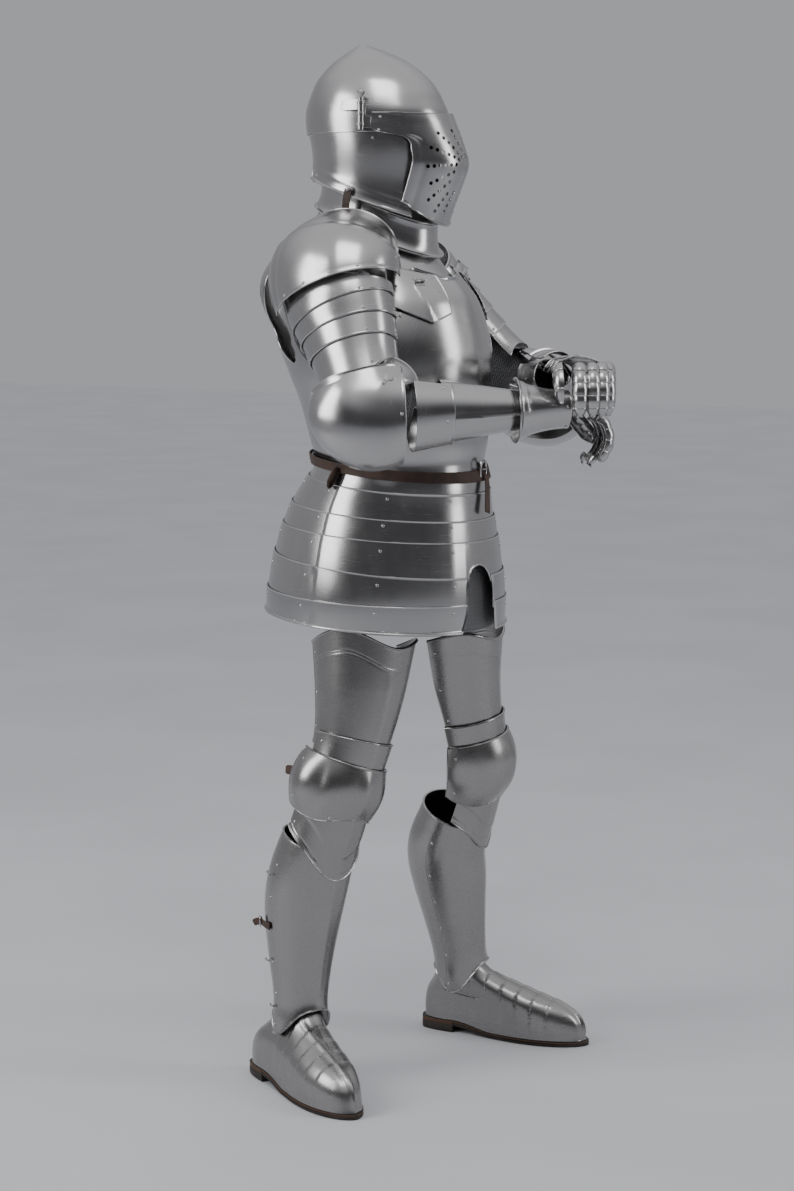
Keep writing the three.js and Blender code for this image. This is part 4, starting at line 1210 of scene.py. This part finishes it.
def make_shoulders():
    """Pauldrons with a raised lower field, the plates round them, and the arm lames."""
    steel = finish_of("polished_steel")
    pairs = []
    for side in SIDES:
        arm = ARM_FORMS[side]["arm"]

        def crown(s, phi, u, v):
            border = -34 + 16 * np.cos(np.radians(phi - 66)) + 0.0012 * (phi - 66) ** 2
            raised = 2.4 * step_up(s - border, 2.5)
            fold = 2.2 * bump(phi - 132 - 0.12 * (s + 20), 5) * step_up(s + 64, 30)
            crest = 2.5 * bump(phi - 66, 9) * step_up(s - border - 6, 20)
            return raised - fold + crest * 0.5

        top = form_plate(arm, -20, 160, -84, 44, lambda u, v: (2.6 + v) * PITCH, crown)
        plate_of(f"pauldron_{side}", top, 64, 44, steel, roll=(1.6, 1.8, 1.6, 1.6))
        pairs.append((top, row_of(7, 0.06, 0.94, 0.95) + [(0.1, 0.5), (0.1, 0.75)]))
        lames = [("arm_lame_1", by_angle([[0, 56], [20, 54], [40, 46], [80, 32]]), 84),
                 ("arm_lame_2", 70, 122), ("arm_lame_3", 108, 160),
                 ("rerebrace", 146, by_angle([[0, 202], [60, 228], [120, 228], [180, 202]]))]
        for name, high, low in lames:
            lame = form_plate(arm, -20, 180, high, low, lambda u, v: PITCH * v)
            plate_of(f"{name}_{side}", lame, 48, 12, steel, roll=(0.8, 1.5, 1.0, 1.0))
            pairs.append((lame, [(0.05, 0.8), (0.32, 0.84), (0.95, 0.8)]))

        def wing(u, v, lift, arm=arm):
            phi = 148 + 38 * np.minimum(1, 1.4 * v)
            phi = phi + (200 - phi) * u
            t = np.clip((phi - 158) / 32, 0, 1)
            s = -66 + (70 + 22 * np.sin(np.pi * u) + 66) * v
            return arm.place(s, phi, lift + 1 + 50 * t * t * (3 - 2 * t))

        back = Plate(wing)
        plate_of(f"pauldron_wing_{side}", back, 24, 24, steel, roll=(1.2, 1.4, 1.0, 1.4))
        near, far = ARM_POINTS[side]["besagew"]

        def guard(u, v, lift, near=near, far=far):
            phi = near + (far - near) * u
            high = GUARD_TOP + 20 * u
            low = GUARD_TIP + 30 * np.abs(u - GUARD_RIDGE) / (1 - GUARD_RIDGE)
            return TORSO.place(high + (low - high) * v, phi, lift)

        def ridge(u, v):
            return 1.6 * bump(u - GUARD_RIDGE - 0.25 * (1 - v), 0.03) * step_up(v - 0.35, 0.1)

        front = Plate(guard, PITCH + WALL, ridge)
        plate_of(f"pauldron_front_{side}", front, 30, 26, steel, roll=(1.2, 1.6, 1.2, 1.2),
              u_marks=(0.3, GUARD_RIDGE, 0.4))
        pairs.append((front, [(0.12, 0.12), (0.8, 0.2), (0.85, 0.5), (0.1, 0.45)]))
        at, out = front.point(0.42, 0.26), front.outward(0.42, 0.26)
        tube = np.array([[x, z] for x in np.linspace(-1, 1, 3) for z in (-1, 1)])
        down = unit(front.point(0.42, 0.36) - at)
        across = np.cross(out, down)
        spots = at + across * tube[:, :1] * 6.5 + down * tube[:, 1:] * 6.0
        domes(f"front_plate_rosette_{side}", spots, np.tile(out, (6, 1)), 3.0, 2.2,
              finish_of("rivet_steel"))
        pin = at - across * 9 + across * np.linspace(0, 20, 8)[:, None] + out * 3.4
        sweep(f"front_plate_pin_{side}", pin, out, disc_outline(2.2, 10), finish_of("rivet_steel"),
              scale=[1, 1, 1, 0.7, 0.7, 1, 1.25, 1])
    rivet_heads("shoulder_rivets", pairs)


def make_arms():
    """Couters drawn up to a boss with folds, elbow lames, fluted vambraces."""
    steel = finish_of("polished_steel")
    pairs = []
    for side in SIDES:
        forms = ARM_FORMS[side]

        def boss(s, phi, u, v):
            off = phi - 80
            far = np.sqrt((s / 34) ** 2 + (off / 26) ** 2)
            point = 11 * np.exp(-far ** 1.3)
            fold = 3.2 * bump(off / (9 + 0.5 * np.abs(s)), 1.0) * step_up(np.abs(s) - 10, 16)
            dish = -2.0 * bump(np.abs(off) - 62, 16)
            return point + fold + dish

        couter = form_plate(forms["bend"], -60, 220, -52, 52, 2 * PITCH + 4.5, boss)
        plate_of(f"couter_{side}", couter, 84, 44, steel, roll=(1.6, 1.8, 1.6, 1.6))
        pairs.append((couter, [(0.06, 0.1), (0.06, 0.5), (0.06, 0.9), (0.94, 0.12), (0.94, 0.88),
                               (0.3, 0.93), (0.7, 0.93), (0.5, 0.07)]))
        lame = form_plate(forms["forearm"], -30, 210, 72, 140, PITCH)
        plate_of(f"elbow_lame_{side}", lame, 56, 14, steel, roll=(0.8, 1.5, 1.0, 1.0))
        pairs.append((lame, [(0.04, 0.75), (0.3, 0.8), (0.6, 0.8), (0.96, 0.75)]))

        def flute(s, phi, u, v):
            x = (phi + 180) % 360 - 180
            ridge = 2.6 * bump(x - 40, 5) * step_up(s - 128, 20)
            return ridge - 0.8 * step_up(np.abs(x) - 128, 1.0)

        vambrace = form_plate(forms["forearm"], -180, 180, 122, 262, 0.0, flute)
        plate_of(f"vambrace_{side}", vambrace, 84, 24, steel, roll=(0.8, 1.0))
        pairs.append((vambrace, [(0.86, 0.3), (0.86, 0.6), (0.14, 0.3), (0.14, 0.6)]))
    rivet_heads("arm_rivets", pairs)


def digit(name, joints, back, wide, steel, lames=5):
    """Lames down one finger or thumb: each laps over the next and has a raised knuckle rim."""
    joints = np.array(joints, float)
    run = np.concatenate([[0], np.cumsum(np.linalg.norm(np.diff(joints, axis=0), axis=1))])
    total = run[-1]
    size = [[s / 112 * total, *(r * wide for r in radii)]
            for s, *radii in ((0, 12.5, 12, 12), (55, 12.5, 12, 12), (90, 11, 11, 11),
                              (112, 4, 4, 4))]
    shape = Form([[s, *p] for s, p in zip(run, joints)], size, back, 1)
    edges = np.linspace(0, total, lames + 1)
    parts = []
    for k in range(lames):
        foot = edges[k + 1] + (3.0 if k + 1 < lames else 0)
        knuckle = lambda s, phi, u, v: 2.2 * bump(v - 0.5, 0.35) * bump(phi, 70)
        guard = form_plate(shape, -100, 100, edges[k], foot, lambda u, v: 0.3 + 1.3 * v, knuckle,
                           wall=1.0)
        parts.append(build(f"{name}_{k}", guard, 14, 5, steel, roll=(0, 0.9, 0.5, 0.5)))
    return parts


def make_gauntlets():
    """Flared cuffs, lames over the back of the hand, and fingers of small overlapping lames."""
    steel = finish_of("polished_steel")
    pairs = []
    for side in SIDES:
        spec = HANDS[side]

        def cuff_ridge(s, phi, u, v):
            return 2.0 * bump(phi - 90, 6) * v + 1.0 * bump(v - 0.16, 0.03)

        cuff = form_plate(ARM_FORMS[side]["forearm"], -80, 260, 250, 348,
                          lambda u, v: 3 + 17 * (1 - v) ** 2, cuff_ridge)
        plate_of(f"cuff_{side}", cuff, 72, 26, steel, roll=(2.6, 1.2, 1.4, 1.4))
        pairs.append((cuff, [(0.1, 0.35), (0.9, 0.35), (0.3, 0.92), (0.7, 0.92), (0.5, 0.92)]))
        across, ahead = unit(np.array(spec["across"], float)), unit(np.array(spec["ahead"], float))
        end = np.array(spec["palm"][2], float)
        axes = np.array([spec["across"], spec["ahead"], (0, 0, 1)])
        spot = lambda x, y, z: end + np.array([x, y, z]) @ axes
        back = Form([[30 * i, *p] for i, p in enumerate(spec["palm"])],
                    [[0, 28, 18, 18], [30, 37.5, 21, 21], [60, 46, 21, 21]], spec["up"], 1)
        parts = []
        for k, (high, low) in enumerate(((6, 30), (26, 46), (42, 64))):
            def knuckles(s, phi, u, v, k=k):
                ridge = 3.4 * np.abs(np.cos(np.radians(phi * 2.9))) ** 3 * bump(v - 0.72, 0.3)
                return ridge if k == 2 else 0.6 * bump(v - 0.9, 0.1)
            lame = form_plate(back, -80, 80, high, low, lambda u, v: 0.2 + 1.6 * v, knuckles,
                              wall=1.2)
            parts.append(build(f"metacarpal_{k}", lame, 44, 12, steel, roll=(0.6, 1.0, 0.9, 0.9)))
            if k < 2:
                pairs.append((lame, [(0.06, 0.8), (0.94, 0.8)]))
        thumb = [spot(*p) for p in spec["thumb"]]
        parts += digit("thumb", thumb, spec["across"], 1.1, steel, 4)
        join(f"hand_{side}_steel", parts, steel, nodes=[f"hand_{side}"])
        fingers = []
        for k, (x, y) in enumerate(spec["knuckles"]):
            joints = [spot(x, y + f, z) for f, z in spec["curl"]]
            fingers += digit(f"finger_{k}", joints, ahead + np.array([0, 0, 1.0]), 1.0, steel)
        join(f"fingers_{side}_steel", fingers, steel, nodes=[f"fingers_{side}"])
    rivet_heads("gauntlet_rivets", pairs)


# ---------------------------------------------------------------- legs

CUISSE_TOP = by_angle([[0, 806], [60, 832], [120, 812], [180, 812]])
POLEYN_FOOT = by_angle([[0, 522], [60, 508], [120, 514]])
SHIN_POINT = by_angle([[0, 410], [60, 455], [100, 476]])
GREAVE_FOOT = by_angle([[0, 146], [40, 136], [80, 100], [100, 100], [140, 132], [180, 138]])


# Distances of the two engraved lines below the cuisse's top edge.
ENGRAVED = (37, 42)


def make_legs():
    """Cuisses with engraved borders, domed poleyns between their lames, and hinged greaves."""
    steel = finish_of("leg_steel_with_painted_shade")
    pairs = []
    for side in SIDES:
        leg = LEG_FORMS[side]

        def borders(s, phi, u, v):
            low = CUISSE_TOP(phi) - s
            lines = sum(bump(low - d, 0.9) for d in ENGRAVED)
            return -0.35 * lines + 2.0 * bump(phi, 7) * step_up(low - 50, 40)

        cuisse = form_plate(leg, -100, 120, CUISSE_TOP, 620, 0.0, borders)
        near = np.array([-0.012, -0.006, 0, 0.006, 0.012])
        marks = np.concatenate([d / 200 + near for d in ENGRAVED])
        plate_of(f"cuisse_{side}", cuisse, 64, 60, steel, roll=(2.6, 0.8, 1.2, 1.2), v_marks=marks)
        pairs.append((cuisse, [(0.96, 0.12), (0.96, 0.5), (0.96, 0.82), (0.04, 0.14), (0.04, 0.5),
                               (0.04, 0.8)]))
        lame = form_plate(leg, -100, 100, 650, 596, PITCH + 1,
                          lambda s, phi, u, v: 1.5 * bump(phi, 8))
        plate_of(f"knee_lame_{side}", lame, 48, 14, steel, roll=(1.8, 0.8, 1.0, 1.0))
        pairs.append((lame, [(0.08, 0.34), (0.92, 0.34)]))
        dome = lambda u, v: 2 * PITCH + 1 + 12 * np.sin(np.pi * v)

        def knee(s, phi, u, v):
            wing = 5.0 * bump(phi - 92, 16) - 3.0 * bump(phi - 62, 9)
            return (3.6 * bump(phi, 9) + wing) * np.sin(np.pi * v)

        poleyn = form_plate(leg, -100, 120, 612, POLEYN_FOOT, dome, knee)
        plate_of(f"poleyn_{side}", poleyn, 72, 44, steel, roll=(1.8, 1.4, 1.4, 1.4))
        pairs.append((poleyn, [(0.06, 0.2), (0.06, 0.8), (0.9, 0.2), (0.9, 0.8), (0.62, 0.94),
                               (0.3, 0.94)]))

        def pointed(s, phi, u, v):
            low = s - SHIN_POINT(phi)
            return 1.5 * step_up(low - 46, 1.6) - 0.9 * bump(low - 11, 1.3) + 1.6 * bump(phi, 7)

        shin = form_plate(leg, -80, 100, 532, SHIN_POINT, PITCH, pointed)
        plate_of(f"shin_lame_{side}", shin, 56, 44, steel, roll=(0.8, 2.0, 1.0, 1.0))
        pairs.append((shin, [(0.05, 0.25), (0.95, 0.25), (0.94, 0.7)]))

        def shin_ridge(s, phi, u, v):
            keel = 2.4 * bump(phi, 8) * step_up(s - 170, 60)
            ankle = 4.0 * bump(np.abs(phi) - 88, 20) * bump(s - 124, 26)
            return keel + ankle + 2.0 * np.exp(-(s - GREAVE_FOOT(phi)) / 7)

        front = form_plate(leg, -100, 100, 458, GREAVE_FOOT, 0.0, shin_ridge)
        back = form_plate(leg, 80, 280, 458, GREAVE_FOOT, -PITCH,
                          lambda s, phi, u, v: 2.0 * np.exp(-(s - GREAVE_FOOT(phi)) / 7))
        plate_of(f"greave_front_{side}", front, 64, 60, steel, roll=(1.2, 2.0, 1.0, 1.0))
        plate_of(f"greave_back_{side}", back, 64, 60, steel, roll=(1.8, 1.6, 0.8, 0.8))
        pairs.append((front, column_of(6, 0.972, 0.14, 0.95) + column_of(6, 0.028, 0.14, 0.95)))
    rivet_heads("leg_rivets", pairs)


# Half outline of the foot from toe to heel: distance from the heel, half width, and angle on
# the ankle ring.
FOOT = curve([[k, *row] for k, row in enumerate(
    [(338, 0, 0), (326, 22, 14), (296, 38, 24), (255, 47, 34), (210, 48, 46), (162, 42, 62),
     (115, 36, 86), (72, 34, 110), (36, 31, 134), (10, 20, 158), (0, 0, 180)])])
FOOT_RISE = curve([[0, 0, 0], [1, 0.05, 0.28], [2, 0.2, 0.45], [3, 0.5, 0.6], [4, 0.82, 0.78],
                   [5, 1, 1]])
ANKLE_TOP, ANKLE_SIDE, ANKLE_FRONT, ANKLE_BACK = 152, 37, 37, 38
HEEL_HEIGHT, HEEL_LENGTH, SOLE_THICKNESS = 19, 72, 9
# Half width of the sole by distance from the heel.
SOLE_PLAN = curve([[-4, 4], [0, 17], [9, 26], [36, 34], [72, 37], [115, 39], [162, 45], [210, 51],
                   [255, 50], [296, 41], [326, 25], [338, 12], [342, 3]])
# Half section of the sole, from the middle of its top: share of the half width, share of height.
SOLE_SECTION = np.array([[0.0, 1], [0.9, 1], [0.985, 0.97], [1.0, 0.88], [0.965, 0.72],
                         [0.955, 0.6], [0.985, 0.5], [0.99, 0.3], [0.975, 0.1], [0.95, 0.0],
                         [0.0, 0.0]])


def sole_top(far):
    """Height of the top of the sole, from the raised heel down to the tread."""
    t = np.clip((far - 70) / 90, 0, 1)
    return HEEL_HEIGHT + 4 + (SOLE_THICKNESS - HEEL_HEIGHT - 4) * t * t * (3 - 2 * t)


def foot_axes(side):
    """A foot's heel, and its directions from heel to toe and to the outer side."""
    spec = LEGS[side]
    heel, toe = np.array([*spec["heel"], 0.0]), np.array([*spec["toe"], 0.0])
    along = unit(toe - heel)
    return heel, along, np.array([-along[1], along[0], 0]) * -spec["hand"]


def make_feet():
    """Sabatons of overlapping lames with a crease to the toe, on stacked leather soles."""
    steel = finish_of("leg_steel_with_painted_shade")
    for side in SIDES:
        heel, along, across = foot_axes(side)
        ankle = np.array([*LEGS[side]["path"][1][1:], 0.0])

        def base_point(u, v):
            t = np.where(u < 0.5, 2 * u, 2 - 2 * u) * 10
            sign = np.where(u < 0.5, 1.0, -1.0)
            far, wide, angle = np.moveaxis(FOOT(t), -1, 0)
            reach, rise = np.moveaxis(FOOT_RISE(5 * v), -1, 0)
            wide = np.maximum(wide, 0)
            c, n = np.cos(np.radians(angle)), np.sin(np.radians(angle))
            foot = heel + along * far[..., None] + across * (sign * wide)[..., None]
            ring = (ankle + along * (c * np.where(angle < 90, ANKLE_FRONT, ANKLE_BACK))[..., None]
                    + across * (sign * ANKLE_SIDE * n)[..., None])
            at = foot + (ring - foot) * reach[..., None]
            low = sole_top(far) + 0.6
            at[..., 2] = low + (ANKLE_TOP - low) * rise
            return at

        def place(u, v, lift):
            """The foot's skin, moved along its normal found from neighbouring points."""
            at = base_point(u, v)
            e = 0.004
            du = base_point((u + e) % 1.0, v) - base_point((u - e) % 1.0, v)
            dv = base_point(u, np.minimum(v + e, 1)) - base_point(u, np.maximum(v - e, 0))
            out = unit(np.cross(du, dv))
            core = ankle + along * 60 * (1 - v[..., None])
            core[..., 2] = 20
            turned = np.sum(out * (at - core), axis=-1) < 0
            out = np.where(turned[..., None], -out, out)
            return at + out * np.asarray(lift)[..., None]

        def lames(u, v):
            at = base_point(*np.broadcast_arrays(u, v))
            far = (at - heel) @ along
            off = (at - heel) @ across
            fall = (far + 0.0016 * off ** 2 - 118) / 31
            tooth = 1.7 * (1 - (fall - np.floor(fall)))
            zone = step_up(fall, 0.04) * (1 - step_up(fall - 6.0, 0.04))
            crease = 3.4 * bump(off, 4.5) * step_up(far - 150, 60) * step_up(v - 0.03, 0.1)
            fade = step_up(v - 0.06, 0.08) * step_up(0.97 - v, 0.05)
            return (tooth * zone + 1.0 * (fall < 0)) * fade + crease * fade

        upper = Plate(place, relief=lames, closed=True)
        plate_of(f"sabaton_{side}", upper, 250, 70, steel, roll=(0.9, 1.2))
        make_sole(side)


def make_sole(side):
    """A leather sole: outlines from heel to toe, grooved at the welt, with a stacked heel block."""
    heel, along, across = foot_axes(side)
    far = np.concatenate([np.linspace(-4, 9, 7), np.linspace(12, 71, 10), [71.8, 72.2],
                          np.linspace(76, 322, 42), np.linspace(326, 342, 9)])
    wide = np.maximum(SOLE_PLAN(far)[..., 0], 1.0)
    high = sole_top(far)
    low = np.where(far < HEEL_LENGTH, 0.0, (HEEL_HEIGHT - 6) * (1 - step_up(far - 116, 86)))
    half = np.stack([SOLE_SECTION[:, 0][None, :] * wide[:, None],
                     low[:, None] + (high - low)[:, None] * SOLE_SECTION[:, 1][None, :]], axis=-1)
    other = half[:, ::-1] * [-1, 1]
    loop = np.concatenate([half, other[:, 1:]], axis=1)
    rings = (heel + along * far[:, None, None] + across * loop[..., :1]
             + np.array([0, 0, 1.0]) * loop[..., 1:])
    caps = [np.broadcast_to(rings[k].mean(axis=0), rings[0].shape)[None] for k in (0, -1)]
    rings = np.concatenate([caps[0], rings, caps[1]])
    R, C = rings.shape[:2]
    rim = np.zeros((R, C))
    rim[:, [2, 3, 4, C - 5, C - 4, C - 3]] = 1.0
    save_mesh(f"sole_{side}_stack", rings.reshape(-1, 3), grid_quads(R, C),
              finish_of("sole_leather_finish"),
              uv=grid_uv(np.linspace(0, 90, C)[None, :], np.linspace(0, 340, R)[:, None]), rim=rim,
              slot="sole_leather", nodes=[f"sole_{side}"])


def make_leg_straps():
    """Leathers behind the knees and calves, their buckles, and the hooks that close the greaves."""
    leather, steel = finish_of("strap_leather"), finish_of("rivet_steel")
    for side in SIDES:
        leg = LEG_FORMS[side]
        parts, metal = [], []
        for s, lo, hi, wide, lift in ((562, 108, 136, 17, 3.5), (300, 92, 128, 13, 3.0)):
            phi = np.linspace(lo, hi, 26)
            path = leg.place(s, phi, lift)
            out = leg.place(s, phi, lift + 6) - path
            parts.append(sweep(f"strap_{s}", path, out, strap_outline(wide, 2.4), leather))
            phi0 = 126.0 if s > 400 else 122.0
            here = leg.point(s, phi0, lift + 3)
            out = unit(leg.point(s, phi0, lift + 9) - here)
            round_ = unit(leg.point(s, phi0 + 6, lift + 3) - here)
            up = np.cross(out, round_)
            ring = buckle_ring(here, round_, up, wide * 0.5, wide * 0.66, 0.6, 24)
            metal.append(sweep(f"buckle_{s}", ring, out, disc_outline(1.6, 8), steel, loop=True))
            metal.append(sweep(f"tongue_{s}",
                               here + round_ * np.linspace(-8, 10, 5)[:, None] + out * 1.6, out,
                               disc_outline(1.3, 8), steel, scale=[1, 1, 1, 1, 0.5]))
            reach = 34 if s > 400 else 15
            tail = here + (out * 0.75 + round_ * 0.55) * np.linspace(0, reach, 9)[:, None]
            tail = tail - np.array([0, 0, 1.0]) * (np.linspace(0, 1, 9)[:, None] ** 2) * 5
            parts.append(sweep(f"tail_{s}", tail, np.cross(out + round_, up),
                               strap_outline(wide, 2.2), leather,
                               scale=[1, 1, 1, 1, 1, 1, 1, 0.98, 0.7]))
        for s in (388.0, 236.0, 150.0):
            here = leg.point(s, 101, 1.0)
            back_ = unit(leg.point(s, 112, 1.0) - here)
            out = unit(leg.point(s, 101, 6.0) - here)
            t = np.linspace(0, 1, 12)[:, None]
            hook = here - back_ * 4 + back_ * 17 * t + out * (3.2 + 2.2 * np.sin(np.pi * t))
            metal.append(sweep(f"hook_{s:.0f}", hook, out, disc_outline(1.5, 8), steel,
                               scale=[1.5, 1.3, 1.1, 1, 1, 1, 1, 1, 1, 1.1, 1.2, 1.3]))
        join(f"leg_straps_{side}", parts, leather, slot="leather")
        join(f"leg_buckles_{side}", metal, steel)


# ---------------------------------------------------------------- stage

VIEW_SIDE = (-0.848, -0.53, 0)
WALL_COLOUR, DARK_WALL_COLOUR = (0.375, 0.377, 0.397), (0.07, 0.07, 0.075)
CEILING_COLOUR = (0.80, 0.81, 0.83)
# Name, place, aim, width and height of each soft light, and its share of the main light's power.
LAMPS = [("key", (-3.3, 2.1, 1.5), (0, 0, -0.2), (1.7, 3.0), 1.0),
         ("front", (1.2, -3.7, 0.9), (0, 0, -0.3), (1.0, 2.8), 0.42),
         ("top", (-1.6, -1.0, 3.2), (0, 0, 0), (1.8, 1.8), 0.45)]
CAMERA_PLACE, CAMERA_DOWN, CAMERA_TURN = (-3.904, -2.473, 0.04), 7.584, -58
CAMERA_LENS, CAMERA_SENSOR = 75.93, 36.0
FLOOR_DROP = 0.0005


def light_world():
    """Grey studio walls, brighter overhead and darker on the side the suit is seen from.

    The wall's grey is a smooth step of direction . view, and the ceiling's a smooth step of height.
    """
    world = bpy.data.worlds.new("studio")
    bpy.context.scene.world = world
    p = Paint(world, "Background")
    at = p.node("ShaderNodeTexCoord", {}, output="Generated")
    facing = p.node("ShaderNodeVectorMath", {"operation": "DOT_PRODUCT"}, [at, VIEW_SIDE],
                    output="Value")
    height = p.node("ShaderNodeSeparateXYZ", {}, [at], output=2)
    wall = p.blend(facing.ramp(-0.35, 0.6), WALL_COLOUR, DARK_WALL_COLOUR)
    p.feed(Color=p.blend(height.ramp(0.3, 0.85), wall, CEILING_COLOUR))


def make_stage():
    """Plain pale floor, soft lights and the camera."""
    s = settings()
    bpy.ops.mesh.primitive_plane_add(size=40, location=(0, 0, CAD_BOX[0][2] - FLOOR_DROP))
    floor = bpy.context.object
    floor.name = "floor"
    p = Paint(bpy.data.materials.new("floor_paint"))
    cloud = p.noise(p.place(), 1.6, 3.0)
    colour = tuple(s.floor_colour)
    p.feed(Base_Color=p.blend(cloud.ramp(0.3, 0.7), shaded(colour, 0.94), colour), Roughness=0.85)
    floor.data.materials.append(p.owner)

    for name, place, target, size, share in LAMPS:
        data = bpy.data.lights.new(name, "AREA")
        data.shape, data.size, data.size_y = "RECTANGLE", *size
        data.energy = s.light_power * share
        made = bpy.data.objects.new(name, data)
        bpy.context.scene.collection.objects.link(made)
        made.location = place
        way = np.array(target, float) - place
        made.rotation_euler = Vector(way).to_track_quat("-Z", "Y").to_euler()
    light_world()
    data = bpy.data.cameras.new("camera")
    data.lens, data.sensor_width, data.sensor_fit = CAMERA_LENS, CAMERA_SENSOR, "AUTO"
    camera = bpy.data.objects.new("camera", data)
    bpy.context.scene.collection.objects.link(camera)
    camera.location = CAMERA_PLACE
    camera.rotation_euler = (math.radians(90 - CAMERA_DOWN), 0, math.radians(CAMERA_TURN))
    bpy.context.scene.camera = camera


# ---------------------------------------------------------------- add-on

def operator(maker):
    """An operator that runs one maker and is named after it."""
    def execute(self, context):
        maker()
        return {"FINISHED"}

    key = maker.__name__.removeprefix("make_")
    return type(f"ARMOUR_OT_{key}", (Operator,), {
        "bl_idname": f"armour.{key}", "bl_label": key.replace("_", " ").capitalize(),
        "__doc__": maker.__doc__, "bl_options": {"REGISTER", "UNDO"}, "execute": execute})


OPERATORS = [operator(maker) for maker in (
    make_stage, make_cuirass, make_gorget, make_fauld, make_belt, make_mail, make_helmet,
    make_visor, make_visor_hinges, make_helmet_straps, make_shoulders, make_arms, make_gauntlets,
    make_legs, make_feet, make_leg_straps)]


class ARMOUR_PT_panel(Panel):
    """The suit's settings, and a button for each group of its pieces."""
    bl_label = "Plate armour"
    bl_idname = "ARMOUR_PT_panel"
    bl_space_type = "VIEW_3D"
    bl_region_type = "UI"
    bl_category = "Armour"

    def draw(self, context):
        for field in ArmourSettings.__annotations__:
            self.layout.prop(context.scene.armour, field)
        for op in OPERATORS:
            self.layout.operator(op.bl_idname)


CLASSES = [ArmourSettings, *OPERATORS, ARMOUR_PT_panel]


def register():
    """Registers the settings, the operators and the panel."""
    for cls in CLASSES:
        bpy.utils.register_class(cls)
    bpy.types.Scene.armour = PointerProperty(type=ArmourSettings)


def unregister():
    """Takes back what register did."""
    del bpy.types.Scene.armour
    for cls in reversed(CLASSES):
        bpy.utils.unregister_class(cls)


def main():
    """Makes the whole suit and writes its measured size beside the CAD's."""
    register()
    for op in OPERATORS:
        getattr(bpy.ops.armour, op.bl_idname.split(".")[1])()


if __name__ == "__main__":
    main()
